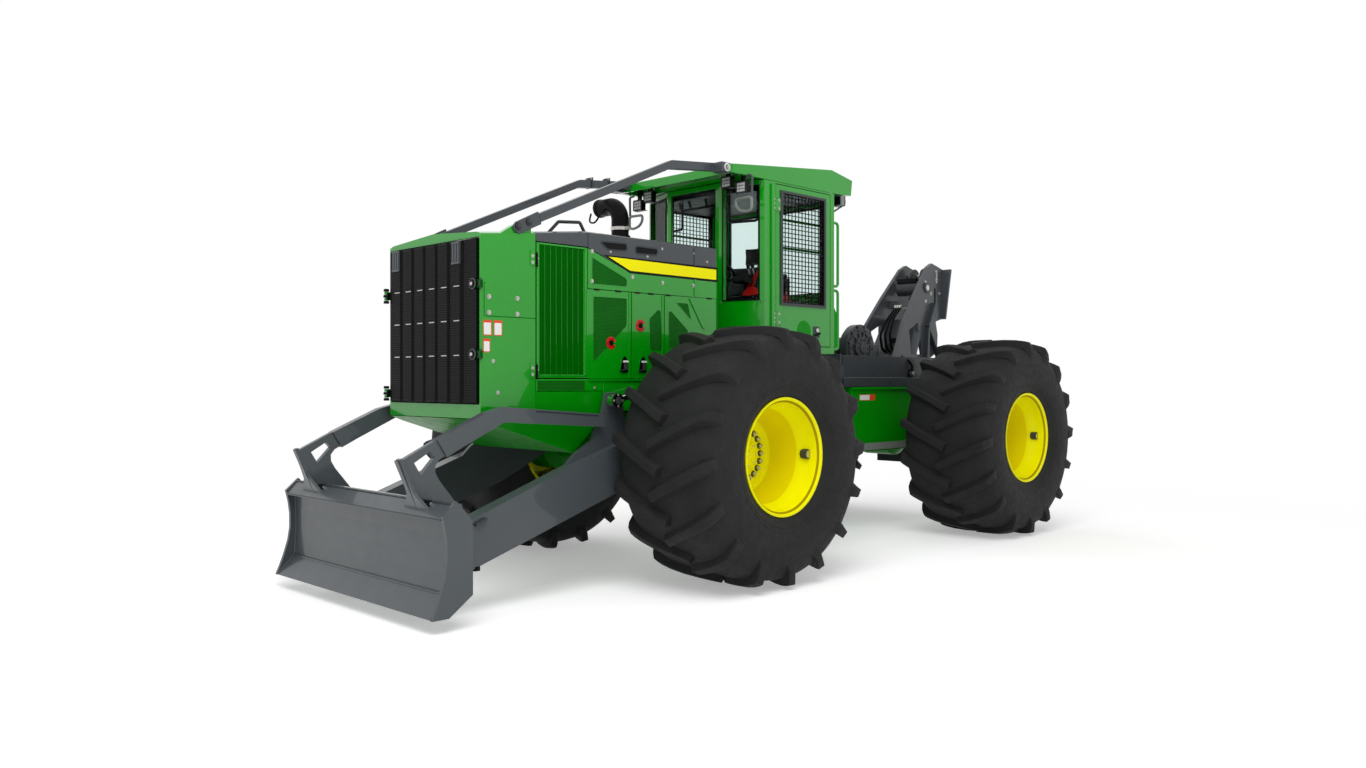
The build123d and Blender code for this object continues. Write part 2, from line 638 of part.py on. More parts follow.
def arch_wedge(inset):
    """Space that narrows upward, whose sides are the arch's leaning faces."""
    low, high = ARCH_HALF_LOW - inset, ARCH_HALF_HIGH - inset
    plane = Plane(origin=(0, 1000, 0), x_dir=(1, 0, 0), z_dir=(0, -1, 0))
    outline = [(-low, DECK_TOP), (low, DECK_TOP), (high, ARCH_TOP), (-high, ARCH_TOP)]
    return extrude(plane * Polygon(*outline, align=None), amount=2500, dir=(0, 1, 0))


def arch_tower():
    """Arch: two plates that lean together, tied by cross plates."""
    outline = [(1615, DECK_TOP), (1845, 2100), (2095, 2400), (2400, 2730), (2500, 2780)]
    outline += [(2715, 2725), (2600, 2170), (2430, 2120), (2450, 1800), (2285, DECK_TOP)]
    gap = [(1930, DECK_TOP - 1), (1930, 2025), (2110, 2110), (2160, DECK_TOP - 1)]
    wide = (-ARCH_HALF_LOW - 10, ARCH_HALF_LOW + 10)
    sides = side_profile(outline, *wide) - side_profile(gap, wide[0] - 1, wide[1] + 1)
    plates = sides & (arch_wedge(0) - arch_wedge(ARCH_PLATE))
    tie = block(wide, (1850, 2280), (DECK_TOP, DECK_TOP + 40))
    brace = side_profile([(2000, 1769), (2040, 1769), (2240, 2160), (2200, 2160)], *wide)
    upper = side_profile([(2230, 2290), (2262, 2280), (2290, 2360), (2258, 2370)], *wide)
    return plates + ((tie + brace + upper) & arch_wedge(1))


def arch_flanges():
    """Guard strips along the rear edges of the arch plates."""
    outline = [(2715, 2725), (2740, 2720), (2625, 2165), (2600, 2170)]
    return both_sides(side_profile(outline, 150, ARCH_HALF_LOW))


def fairlead_roller():
    """Roller across the arch that the winch cable runs over."""
    return rod((-ROLLER_HALF, *ROLLER), (ROLLER_HALF, *ROLLER), ROLLER_R)


def butt_plate():
    """Heavy plate across the tail that stops the logs."""
    outline = [(2655, 560), (2695, 560), (2755, 1100), (2695, 1640), (2655, 1640)]
    plate = side_profile(outline, -640, 640)
    lug = side_profile([(2670, 620), (2790, 660), (2790, 780), (2700, 900)], *TOW_EYE_X)
    lug += rod((TOW_EYE_X[0], *TOW_EYE), (TOW_EYE_X[1], *TOW_EYE), TOW_EYE_R + 28)
    lug -= rod((TOW_EYE_X[0] - 1, *TOW_EYE), (TOW_EYE_X[1] + 1, *TOW_EYE), TOW_EYE_R)
    return plate + both_sides(lug)


# Blade and linkage ---------------------------------------------------------

def blade():
    """Blade: hollow-faced mouldboard, cutting edge and two end plates."""
    face = [(-4224, 660), (-4230, 674), (-4150, 754), (-4085, 754), (-4062, 640), (-4062, 250)]
    face += [(-4140, 150), (-4215, 90), (-4300, 90), (-4184, 213), (-4171, 224), (-4163, 330)]
    face += [(-4159, 440), (-4161, 560), (-4168, 652)]
    inner = BLADE_HALF - BLADE_END
    mould = side_profile(face, -inner - 1, inner + 1)
    end = [(-4303, 88), (-4276, 150), (-4248, 222), (-4214, 330), (-4200, 420), (-4200, 520)]
    end += [(-4212, 610), (-4232, 690), (-4138, 774), (-4030, 658), (-4024, 560), (-4024, 206), (-4190, 88)]
    plates = both_sides(side_profile(end, inner, BLADE_HALF))
    return mould + plates


def horn_plate():
    """Leaning front plate of a post, wide at its foot and narrow at the horn."""
    right = [(143, 0), (122, 32), (97, 59), (66, 86), (42, 119), (33, 173), (29, 226), (24, 291), (22, 345)]
    outline = right + [(-x, along) for x, along in reversed(right)]
    plane = Plane(origin=(700, -4192, 690), x_dir=(1, 0, 0), z_dir=(0, -0.9272, -0.3745))
    return extrude(plane * Polygon(*outline, align=None), amount=-20)


def push_arms():
    """Push arms with their uprights, braces and the posts over the blade."""
    beam = [(-4059, 540), (-3800, 618), (-3030, 890), (-2550, 1038), (-2180, 1110), (-2075, 1060)]
    beam += [(-2075, 940), (-2180, 890), (-2620, 680), (-3540, 376), (-4059, 210)]
    arm = side_profile(beam, ARM_INNER, ARM_OUTER)
    upright = [(-3060, 850), (-3012, 889), (-2920, 976), (-2764, 1062), (-2720, 1150), (-2667, 1249)]
    upright += [(-2630, 1400), (-2530, 1400), (-2470, 1300), (-2430, 1030)]
    arm += side_profile(upright, ARM_INNER, ARM_INNER + 34)
    brace = [(-3990, 1010), (-3870, 1070), (-3560, 1215), (-2700, 1158), (-2700, 1250)]
    brace += [(-3560, 1316), (-3690, 1284), (-4060, 1120)]
    arm += side_profile(brace, ARM_INNER + 25, ARM_OUTER - 25)
    post = [(-4330, 1005), (-4300, 1004), (-4060, 1120), (-3856, 1211), (-3990, 1022), (-4040, 996)]
    post += [(-4068, 960), (-4066, 915), (-4035, 862), (-3903, 700), (-3850, 590), (-4000, 545)]
    post += [(-4070, 600), (-4192, 690)]
    window = [(-4215, 985), (-4105, 1050), (-4070, 1012), (-4168, 908)]
    arm += side_profile(post, 672, 712)
    arm -= side_profile(window, 600, 760)
    arm += horn_plate()
    return both_sides(arm) - blade()


def lift_cylinder():
    """Left lift cylinder: barrel, then rod."""
    eye = Vector(CYLINDER_X, *LIFT_EYE)
    anchor = Vector(CYLINDER_X, *LIFT_ANCHOR)
    along = (eye - anchor).normalized()
    barrel = tube(tuple(anchor + along * 90), tuple(anchor + along * 680), LIFT_BARREL_R, CYLINDER_BORE_R)
    barrel += rod(tuple(anchor + along * 30), tuple(anchor + along * 110), LIFT_BARREL_R)
    barrel += rod((CYLINDER_X - 40, *LIFT_ANCHOR), (CYLINDER_X + 40, *LIFT_ANCHOR), 55)
    bar = rod(tuple(anchor + along * 400), tuple(eye - along * 30), CYLINDER_ROD_R)
    bar += rod((CYLINDER_X - 28, *LIFT_EYE), (CYLINDER_X + 35, *LIFT_EYE), 48)
    return barrel, bar


def steer_cylinder():
    """Left steering cylinder: barrel, then rod."""
    base = Vector(*STEER_FRONT, STEER_Z)
    eye = Vector(*STEER_REAR, STEER_Z)
    along = (eye - base).normalized()
    barrel = tube(tuple(base + along * 90), tuple(base + along * 870), STEER_BARREL_R, CYLINDER_BORE_R)
    barrel += rod(tuple(base + along * 30), tuple(base + along * 110), STEER_BARREL_R)
    barrel += rod((base.X, base.Y, STEER_Z - 40), (base.X, base.Y, STEER_Z + 40), 60)
    bar = rod(tuple(base + along * 560), tuple(eye - along * 30), CYLINDER_ROD_R)
    bar += rod((eye.X, eye.Y, STEER_Z - 30), (eye.X, eye.Y, STEER_Z + 30), 42)
    return barrel, bar


# Write every node ----------------------------------------------------------

WHEELS = [("front_left", 1, -1), ("front_right", -1, -1), ("rear_left", 1, 1), ("rear_right", -1, 1)]

SINGLE_NODES = [
    ("front_chassis", front_chassis), ("lower_hull", lower_hull), ("nose_frame", nose_frame),
    ("hood_top", hood_top), ("engine_covers", engine_covers), ("side_skirts", side_skirt),
    ("grille_door", grille_door), ("radiator", radiator), ("engine_block", engine_block),
    ("cab_base", cab_base), ("cab_frame", cab_frame), ("cab_roof", cab_roof), ("cab_glass", cab_glass),
    ("seat_pad", seat_pad), ("seat_base", seat_base), ("controls", controls), ("handrails", handrails),
    ("work_lights", work_lights), ("limb_risers", limb_risers), ("exhaust_stack", exhaust_stack),
    ("hood_handle", hood_handle), ("cab_steps", cab_steps), ("rear_frame", rear_frame),
    ("rear_deck", rear_deck), ("winch_housing", winch_housing), ("winch_drum", winch_drum),
    ("arch_tower", arch_tower), ("arch_flanges", arch_flanges),
    ("fairlead_roller", fairlead_roller), ("butt_plate", butt_plate), ("blade", blade),
    ("push_arms", push_arms),
]
PAIRED_NODES = [("louvre_door", louvre_door), ("cab_door", cab_door), ("door_window", door_window)]

for name, make in SINGLE_NODES:
    keep(name, make())
for name, make in PAIRED_NODES:
    left = make()
    keep(f"{name}_left", left)
    keep(f"{name}_right", mirrored(left))
for name, make in (("lift", lift_cylinder), ("steer", steer_cylinder)):
    barrel, bar = make()
    keep(f"{name}_barrel_left", barrel)
    keep(f"{name}_barrel_right", mirrored(barrel))
    keep(f"{name}_rod_left", bar)
    keep(f"{name}_rod_right", mirrored(bar))
keep("front_axle", axle(-AXLE_Y))
keep("rear_axle", axle(AXLE_Y))
for corner, x_side, y_side in WHEELS:
    place = Pos(x_side * WHEEL_X, y_side * AXLE_Y, AXLE_Z)
    rim_part = rim() if x_side > 0 else mirrored(rim())
    keep(f"tyre_{corner}", place * tyre())
    keep(f"rim_{corner}", place * rim_part)
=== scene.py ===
"""Looks of an articulated log skidder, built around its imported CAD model.

Metres.  +Z is up, the front faces -Y and +X is the machine's own left side.
Stations along Y are written from the middle of the wheelbase, and placed()
moves them to the frame's own origin.
"""

import json
import math

import bmesh
import bpy
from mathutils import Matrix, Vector


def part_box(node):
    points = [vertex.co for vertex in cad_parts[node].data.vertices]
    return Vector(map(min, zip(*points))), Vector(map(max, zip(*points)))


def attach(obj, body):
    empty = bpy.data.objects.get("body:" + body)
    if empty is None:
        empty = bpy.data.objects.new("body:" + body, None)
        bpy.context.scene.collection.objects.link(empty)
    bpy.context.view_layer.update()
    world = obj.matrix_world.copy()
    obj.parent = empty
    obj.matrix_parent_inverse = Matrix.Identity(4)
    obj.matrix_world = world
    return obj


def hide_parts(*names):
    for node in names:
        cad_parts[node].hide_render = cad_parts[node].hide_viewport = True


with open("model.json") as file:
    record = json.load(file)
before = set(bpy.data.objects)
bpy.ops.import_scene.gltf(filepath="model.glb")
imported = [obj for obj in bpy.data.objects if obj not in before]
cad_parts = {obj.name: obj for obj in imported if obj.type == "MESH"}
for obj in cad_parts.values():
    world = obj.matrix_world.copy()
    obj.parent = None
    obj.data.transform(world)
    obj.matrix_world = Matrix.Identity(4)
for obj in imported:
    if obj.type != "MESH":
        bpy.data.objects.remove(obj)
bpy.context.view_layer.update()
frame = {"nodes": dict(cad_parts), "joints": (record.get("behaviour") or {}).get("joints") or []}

NODES = frame["nodes"]
JOINTS = {joint["name"]: joint for joint in frame["joints"]}
AXLES = [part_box("front_axle"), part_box("rear_axle")]
MID_Y = sum(corner.y for pair in AXLES for corner in pair) / 4

AXES = {"X": (1, 2, 0), "Y": (0, 2, 1), "Z": (0, 1, 2)}


# ---- Shapes: each is (points, faces) in station coordinates

def placed(point):
    """A station point in the frame's own coordinates."""
    return Vector((point[0], point[1] + MID_Y, point[2]))


def at(axis, u, v, w):
    """Point with outline coordinates u, v and w along the axis."""
    point = [0.0, 0.0, 0.0]
    a, b, c = AXES[axis]
    point[a], point[b], point[c] = u, v, w
    return Vector(point)


def prism(axis, outline, low, high):
    """Outline extruded along an axis."""
    n = len(outline)
    points = [at(axis, u, v, w) for w in (low, high) for u, v in outline]
    faces = [tuple(range(n)), tuple(range(2 * n - 1, n - 1, -1))]
    faces += [(i, (i + 1) % n, n + (i + 1) % n, n + i) for i in range(n)]
    return points, faces


def ring(axis, outer, inner, low, high):
    """Frame between two outlines of as many points each."""
    n = len(outer)
    points = [at(axis, u, v, w) for w in (low, high) for line in (outer, inner) for u, v in line]
    faces = []
    for i in range(n):
        j = (i + 1) % n
        faces.append((i, j, n + j, n + i))
        faces.append((2 * n + i, 3 * n + i, 3 * n + j, 2 * n + j))
        faces.append((i, 2 * n + i, 2 * n + j, j))
        faces.append((n + i, n + j, 3 * n + j, 3 * n + i))
    return points, faces


def rectangle(u, v):
    """Outline between two pairs of limits."""
    return [(u[0], v[0]), (u[1], v[0]), (u[1], v[1]), (u[0], v[1])]


def span(middle, half):
    """Limits on either side of a middle."""
    return middle - half, middle + half


def block(x, y, z):
    """Rectangular block between limits."""
    return prism("Z", rectangle(x, y), *z)


def grown(outline, margin):
    """Outline moved outward by a margin, for outlines that turn either way."""
    n = len(outline)
    pairs = list(zip(outline, outline[1:] + outline[:1]))
    area = sum(here[0] * after[1] - after[0] * here[1] for here, after in pairs)
    side = 1 if area > 0 else -1
    moved = []
    for i in range(n):
        before, here, after = (Vector(outline[(i + k) % n]) for k in (-1, 0, 1))
        a, b = (here - before).normalized(), (after - here).normalized()
        normal_a, normal_b = Vector((a.y, -a.x)) * side, Vector((b.y, -b.x)) * side
        bisector = (normal_a + normal_b).normalized()
        moved.append(tuple(here + bisector * margin / max(0.35, bisector.dot(normal_a))))
    return moved


def corner_arc(before, here, after, radius, share, steps):
    """Points that round a corner, over no more than a share of either side."""
    a, b = before - here, after - here
    reach = min(radius, a.length * share, b.length * share)
    start, end = here + a.normalized() * reach, here + b.normalized() * reach
    times = [step / steps for step in range(steps + 1)]
    return [start * (1 - t) ** 2 + here * 2 * t * (1 - t) + end * t * t for t in times]


def softened(outline, radius):
    """Outline with its corners rounded."""
    n = len(outline)
    line = []
    for i in range(n):
        before, here, after = (Vector(outline[(i + k) % n]) for k in (-1, 0, 1))
        line += [tuple(point) for point in corner_arc(before, here, after, radius, 0.45, 4)]
    return line


def lathe(profile, centre, axis="X", segments=32, closed=False):
    """Profile of (along, radius) points turned round an axis through centre."""
    points, rows, faces = [], [], []
    for along, radius in profile:
        if radius < 1e-6:
            rows.append([len(points)] * segments)
            points.append(at(axis, 0, 0, along) + Vector(centre))
            continue
        rows.append(list(range(len(points), len(points) + segments)))
        for step in range(segments):
            angle = 2 * math.pi * step / segments
            spot = at(axis, radius * math.cos(angle), radius * math.sin(angle), along)
            points.append(spot + Vector(centre))
    pairs = list(zip(rows, rows[1:])) + ([(rows[-1], rows[0])] if closed else [])
    for low, high in pairs:
        for i in range(segments):
            j = (i + 1) % segments
            face = list(dict.fromkeys((low[i], low[j], high[j], high[i])))
            if len(face) > 2:
                faces.append(tuple(face))
    return points, faces


def disc(centre, radius, thick, axis="X", segments=24):
    """Round plate or button with a chamfered outer edge, from centre outward along the axis."""
    edge = abs(thick) * 0.25
    sign = 1 if thick > 0 else -1
    profile = [(0, 0), (0, radius), (thick - sign * edge, radius), (thick, radius - edge), (thick, 0)]
    return lathe(profile, centre, axis, segments)


def rounded(points, bend):
    """Path whose corners are short arcs."""
    path = [Vector(points[0])]
    for before, corner, after in zip(points, points[1:], points[2:]):
        here = Vector(corner)
        path += corner_arc(Vector(before), here, Vector(after), bend, 0.49, 5)
    return path + [Vector(points[-1])]


def sweep(points, section, bend=0.0, closed=False, up=None):
    """Section of (u, v) points carried along a path."""
    path = rounded(points, bend) if bend and not closed else [Vector(p) for p in points]
    if closed and bend:
        loop = list(points) + [points[0], points[1]]
        path = rounded(loop, bend)[1:-1]
    n, m = len(path), len(section)
    normal, made = None, []
    for i in range(n):
        ahead = path[(i + 1) % n] if closed or i < n - 1 else path[i]
        behind = path[i - 1] if closed or i > 0 else path[i]
        along = (ahead - behind).normalized()
        if up is not None:
            side = along.cross(Vector(up)).normalized()
            normal = side.cross(along)
        else:
            normal = normal or along.orthogonal()
            normal = (normal - along * normal.dot(along)).normalized()
            side = along.cross(normal)
        made += [path[i] + side * u + normal * v for u, v in section]
    faces = []
    for i in range(n if closed else n - 1):
        j = (i + 1) % n
        faces += [(i * m + k, i * m + (k + 1) % m, j * m + (k + 1) % m, j * m + k) for k in range(m)]
    if not closed:
        faces += [tuple(range(m)), tuple(range(n * m - 1, (n - 1) * m - 1, -1))]
    return made, faces


def circle(radius, count=10):
    """Round section."""
    return [(radius * math.cos(2 * math.pi * k / count), radius * math.sin(2 * math.pi * k / count))
            for k in range(count)]


def bar(points, radius, bend=0.0, count=10, closed=False):
    """Round bar along a path."""
    return sweep(points, circle(radius, count), bend, closed)


def strip(start, end, width, thick, normal):
    """Flat bar between two points, standing off a surface with that normal."""
    section = [(-width / 2, 0), (width / 2, 0), (width / 2, thick), (-width / 2, thick)]
    return sweep([start, end], section, up=normal)


def bolt(centre, axis, reach, radius):
    """Hexagon head on its washer."""
    sign = 1 if reach > 0 else -1
    wide, foot = radius * 1.55, reach * 0.22
    washer = lathe([(0, 0), (0, wide), (foot, wide), (foot, 0)], centre, axis, 14)
    head = [(reach * 0.2, 0), (reach * 0.2, radius), (reach - sign * radius * 0.16, radius),
            (reach, radius * 0.8), (reach, 0)]
    return [washer, lathe(head, centre, axis, 6)]


def around(count, radius, centre, start=0.0):
    """Spots evenly round a circle that faces along X."""
    x, y, z = centre
    turns = [start + 2 * math.pi * k / count for k in range(count)]
    return [(x, y + radius * math.cos(turn), z + radius * math.sin(turn)) for turn in turns]


def mirrored(shape):
    """The same shape on the other side of the centre plane."""
    points, faces = shape
    return [Vector((-p.x, p.y, p.z)) for p in map(Vector, points)], faces


def moved(shape, offset):
    """The shape moved by an offset."""
    points, faces = shape
    return [Vector(p) + Vector(offset) for p in points], faces


def both(parts):
    """Parts and their mirror images."""
    return parts + flipped(parts)


def add(parts, key, *shapes):
    """Shapes with one material, added to a piece's parts."""
    parts += [(shape, key) for shape in shapes]


def bolts(parts, key, reach, radius, *spots):
    """Bolts that stand out along X."""
    for spot in spots:
        add(parts, key, *bolt(spot, "X", reach, radius))


def flipped(parts):
    """Parts mirrored to the other side."""
    return [(mirrored(shape), key) for shape, key in parts]


# ---- Materials

def rgb(red, green, blue):
    """Display colour from 0 to 255 as the linear colour that a shader takes."""
    linear = []
    for value in (red, green, blue):
        value /= 255
        linear.append(value / 12.92 if value <= 0.04045 else ((value + 0.055) / 1.055) ** 2.4)
    return (*linear, 1)


MATERIALS = {}


class Nodes:
    """Node tree with helpers for the nodes in it."""

    def __init__(self, tree):
        self.nodes = tree.nodes
        self.links = tree.links

    def node(self, kind, links=(), **values):
        """Node whose in_ values go to its inputs and whose other values are settings."""
        made = self.nodes.new(kind)
        for name, value in values.items():
            if name.startswith("in_"):
                made.inputs[name[3:].replace("_", " ")].default_value = value
            else:
                setattr(made, name, value)
        for socket, source in dict(links).items():
            self.links.new(source, made.inputs[socket])
        return made

    def math(self, operation, *values):
        """Result of an operation on numbers or outputs."""
        made = self.node("ShaderNodeMath", operation=operation)
        for index, value in enumerate(values):
            if isinstance(value, (int, float)):
                made.inputs[index].default_value = value
            else:
                self.links.new(value, made.inputs[index])
        return made.outputs[0]

    def seen(self):
        """One for rays that show a thing straight on, mirrored or through glass."""
        rays = self.node("ShaderNodeLightPath").outputs
        straight = self.math("MAXIMUM", rays["Is Camera Ray"], rays["Is Glossy Ray"])
        return self.math("MAXIMUM", straight, rays["Is Transmission Ray"])


class Shader(Nodes):
    """Principled material with textures in object coordinates."""

    def __init__(self, key, **values):
        self.material = bpy.data.materials.new(key)
        self.material.use_nodes = True
        super().__init__(self.material.node_tree)
        self.base = self.nodes["Principled BSDF"]
        for name, value in values.items():
            self.base.inputs[name.replace("_", " ")].default_value = value
        self.place = self.node("ShaderNodeTexCoord").outputs["Object"]
        MATERIALS[key] = self.material

    def noise(self, scale, detail=3.0, roughness=0.55, stretch=None):
        """Noise of so many cells a metre."""
        place = self.place
        if stretch:
            place = self.node("ShaderNodeMapping", {"Vector": place}, in_Scale=stretch).outputs["Vector"]
        made = self.node("ShaderNodeTexNoise", {"Vector": place}, in_Scale=scale, in_Detail=detail,
                         in_Roughness=roughness)
        return made.outputs["Fac"]

    def spread(self, source, low, high, to_low, to_high):
        """Source between low and high carried to another range."""
        made = self.node("ShaderNodeMapRange", {"Value": source}, in_From_Min=low, in_From_Max=high,
                         in_To_Min=to_low, in_To_Max=to_high)
        return made.outputs["Result"]

    def cloud(self, scale, detail, to_low, to_high, roughness=0.55, low=0.3, high=0.7):
        """Noise carried to a range."""
        return self.spread(self.noise(scale, detail, roughness), low, high, to_low, to_high)

    def mix(self, factor, first, second):
        """Colour between two colours or colour outputs."""
        made = self.node("ShaderNodeMix", data_type="RGBA")
        self.links.new(factor, made.inputs["Factor"])
        for name, value in (("A", first), ("B", second)):
            socket = [s for s in made.inputs if s.name == name and s.type == "RGBA"][0]
            if isinstance(value, tuple):
                socket.default_value = value
            else:
                self.links.new(value, socket)
        return [s for s in made.outputs if s.type == "RGBA"][0]

    def feed(self, name, source):
        """Source led into an input of the surface."""
        self.links.new(source, self.base.inputs[name])

    def grain(self, height, depth, under=None):
        """Fine relief, over another one if given."""
        links = {"Height": height}
        if under:
            links["Normal"] = under
        return self.node("ShaderNodeBump", links, in_Distance=depth, in_Strength=1.0).outputs["Normal"]


# Height of the orange peel, and the colour of dust
PEEL = 0.00003
DUST = rgb(120, 116, 104)


def paint(key, colour, rough, coat, vary, dust, spec):
    """Sprayed enamel: slight orange peel, uneven gloss and a trace of dust."""
    made = Shader(key, Base_Color=colour, Coat_Weight=coat, Coat_Roughness=0.02, Specular_IOR_Level=spec)
    deep = tuple(c * (1 - vary) for c in colour[:3]) + (1,)
    pale = tuple(min(1, c * (1 + vary)) for c in colour[:3]) + (1,)
    tone = made.mix(made.cloud(2.2, 4.0, 0, 1), deep, pale)
    made.feed("Base Color", made.mix(made.cloud(14, 6.0, 0, dust, 0.7, 0.52, 0.85), tone, DUST))
    made.feed("Roughness", made.cloud(9, 5.0, rough - 0.06, rough + 0.08, 0.6))
    made.feed("Normal", made.grain(made.noise(160, 2.0), PEEL))


def mesh_coordinates(made, pitch):
    """Upright and level waves that repeat at a pitch on any upright sheet."""
    parts = made.node("ShaderNodeSeparateXYZ", {"Vector": made.place}).outputs
    across = made.math("MULTIPLY", made.math("ADD", parts["X"], parts["Y"]), 2 * math.pi / pitch)
    upward = made.math("MULTIPLY", parts["Z"], 2 * math.pi / pitch)
    return across, upward


# Where a hole starts, how wide its rim is (both in the sum of two waves) and how deep it looks
HOLE = 0.1
HOLE_RIM = 0.45
HOLE_DEPTH = 0.002


def perforated(key, sheet, hole, pitch, rough):
    """Sheet metal with staggered round holes."""
    made = Shader(key, Base_Color=sheet, Coat_Weight=0.04, Coat_Roughness=0.15, Specular_IOR_Level=0.1)
    across, upward = mesh_coordinates(made, pitch)
    diagonal = made.math("ADD", made.math("COSINE", across), made.math("COSINE", upward))
    inside = made.spread(diagonal, HOLE, HOLE + HOLE_RIM, 0, 1)
    worn = made.cloud(5, 3.0, 0, 0.35, low=0.35, high=0.65)
    tone = made.mix(worn, sheet, tuple(c * 0.6 for c in sheet[:3]) + (1,))
    made.feed("Base Color", made.mix(inside, tone, hole))
    made.feed("Roughness", made.spread(inside, 0, 1, rough, 0.8))
    made.feed("Normal", made.grain(made.spread(inside, 0, 1, 1, 0), HOLE_DEPTH))


# Display colour, roughness, coat, change of tone, dust, specular level
PAINTS = {
    "green": ((0, 150, 8), 0.22, 0.85, 0.04, 0.01, 0.25),
    "green_low": ((0, 140, 3), 0.38, 0.08, 0.06, 0.01, 0.1),
    # The next green is darker; on the louvre blades it is painted shade for their recess
    "green_shade": ((0, 88, 2), 0.5, 0.0, 0.06, 0.0, 0.03),
    "grey": ((68, 72, 76), 0.38, 0.3, 0.06, 0.03, 0.25),
    "grey_blade": ((75, 81, 85), 0.36, 0.4, 0.05, 0.03, 0.25),
    "grey_dark": ((50, 55, 58), 0.42, 0.25, 0.06, 0.03, 0.25),
    "black": ((9, 9, 10), 0.36, 0.04, 0.06, 0.01, 0.08),
    "yellow": ((255, 249, 0), 0.4, 0.08, 0.02, 0.0, 0.1),
    # The next two are darker yellows that paint shade on the rim: over the cone of the dish and in the
    # groove at the outer bead seat
    "yellow_painted_shade": ((240, 223, 0), 0.45, 0.0, 0.03, 0.0, 0.08),
    "yellow_groove_shade": ((168, 150, 0), 0.5, 0.0, 0.03, 0.0, 0.05),
    "stripe": ((255, 246, 10), 0.4, 0.06, 0.02, 0.0, 0.08),
    "plate": ((236, 236, 232), 0.35, 0.2, 0.02, 0.02, 0.25),
    "plate_grey": ((128, 134, 130), 0.45, 0.15, 0.06, 0.03, 0.25),
    "warning_edge": ((226, 74, 30), 0.35, 0.2, 0.03, 0.01, 0.25),
    "red": ((206, 22, 16), 0.35, 0.3, 0.05, 0.01, 0.25),
}


def make_materials():
    """Every finish on the machine, by key."""
    for key, (colour, *values) in PAINTS.items():
        paint(key, rgb(*colour), *values)
    perforated("grille_mesh", rgb(15, 15, 16), rgb(3, 3, 3), 0.016, 0.45)
    perforated("cover_mesh", rgb(20, 118, 22), rgb(3, 70, 5), 0.010, 0.5)
    perforated("slot_mesh", rgb(28, 28, 29), rgb(8, 8, 9), 0.009, 0.5)

    rubber = Shader("rubber", Base_Color=rgb(37, 37, 38), Specular_IOR_Level=0.2)
    worn = rubber.cloud(5, 5.0, 0, 1, 0.65, high=0.72)
    rubber.feed("Base Color", rubber.mix(worn, rgb(34, 34, 35), rgb(42, 42, 42)))
    rubber.feed("Roughness", rubber.cloud(20, 4.0, 0.62, 0.82))
    fine = rubber.grain(rubber.noise(260), 0.0004)
    rubber.feed("Normal", rubber.grain(rubber.noise(30, 4.0), 0.0012, fine))

    steel = Shader("steel", Base_Color=rgb(196, 194, 188), Metallic=1.0)
    steel.feed("Roughness", steel.cloud(60, 4.0, 0.22, 0.42))
    steel.feed("Normal", steel.grain(steel.noise(300, 2.0), 0.0001))

    chrome = Shader("chrome", Base_Color=rgb(225, 225, 226), Metallic=1.0)
    drawn = chrome.noise(200, 2.0, stretch=(1, 0.05, 1))
    chrome.feed("Roughness", chrome.spread(drawn, 0.3, 0.7, 0.06, 0.14))

    cast = Shader("cast", Base_Color=rgb(70, 71, 73), Metallic=0.2)
    cast.feed("Base Color", cast.mix(cast.noise(18, 5.0), rgb(44, 45, 47), rgb(70, 71, 73)))
    cast.feed("Roughness", cast.cloud(30, 3.0, 0.5, 0.7))
    cast.feed("Normal", cast.grain(cast.noise(150, 4.0, 0.7), 0.0008))

    glass = Shader("glass", Base_Color=rgb(232, 243, 241), Transmission_Weight=1.0, IOR=1.14)
    glass.feed("Roughness", glass.cloud(8, 3.0, 0.0, 0.02, low=0.4))

    lens = Shader("lens", Base_Color=rgb(214, 216, 218), Roughness=0.12, Coat_Weight=0.8)
    waves = lens.math("MULTIPLY", *(lens.math("COSINE", wave) for wave in mesh_coordinates(lens, 0.016)))
    dots = lens.spread(waves, 0.1, 0.5, 0, 1)
    lens.feed("Base Color", lens.mix(dots, rgb(158, 160, 162), rgb(244, 245, 246)))

    vinyl = Shader("vinyl", Base_Color=rgb(24, 24, 25), Specular_IOR_Level=0.3)
    cells = vinyl.node("ShaderNodeTexVoronoi", {"Vector": vinyl.place}, in_Scale=420.0).outputs["Distance"]
    vinyl.feed("Roughness", vinyl.cloud(12, 3.0, 0.48, 0.66))
    vinyl.feed("Base Color", vinyl.mix(vinyl.noise(25), rgb(18, 18, 19), rgb(30, 30, 31)))
    vinyl.feed("Normal", vinyl.grain(cells, 0.0005))

    plastic = Shader("plastic", Base_Color=rgb(26, 27, 28), Specular_IOR_Level=0.3)
    plastic.feed("Base Color", plastic.mix(plastic.noise(9), rgb(20, 21, 22), rgb(32, 33, 34)))
    plastic.feed("Roughness", plastic.cloud(40, 3.0, 0.42, 0.6))
    plastic.feed("Normal", plastic.grain(plastic.noise(500, 2.0), 0.0003))


make_materials()


# ---- Pieces

def linked(name, data):
    """New object in the scene."""
    made = bpy.data.objects.new(name, data)
    bpy.context.scene.collection.objects.link(made)
    return made


def solid(name, shell, keys):
    """Smooth object from an edited mesh and the keys of its materials."""
    data = bpy.data.meshes.new(name)
    shell.to_mesh(data)
    shell.free()
    for key in keys:
        data.materials.append(MATERIALS[key])
    data.polygons.foreach_set("use_smooth", [True] * len(data.polygons))
    return linked(name, data)


def piece(name, body, parts, bevel=0.0015, sharp=34, instead=()):
    """One object from coloured shapes, riding on a body."""
    keys = list(dict.fromkeys(key for _, key in parts))
    shell = bmesh.new()
    for (points, faces), key in parts:
        made = [shell.verts.new(placed(point)) for point in points]
        for face in faces:
            shell.faces.new([made[i] for i in face]).material_index = keys.index(key)
    bmesh.ops.recalc_face_normals(shell, faces=shell.faces)
    made = solid(name, shell, keys)
    made.data.set_sharp_from_angle(angle=math.radians(sharp))
    soft_edges(made, bevel)
    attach(made, body)
    if instead:
        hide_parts(*instead)


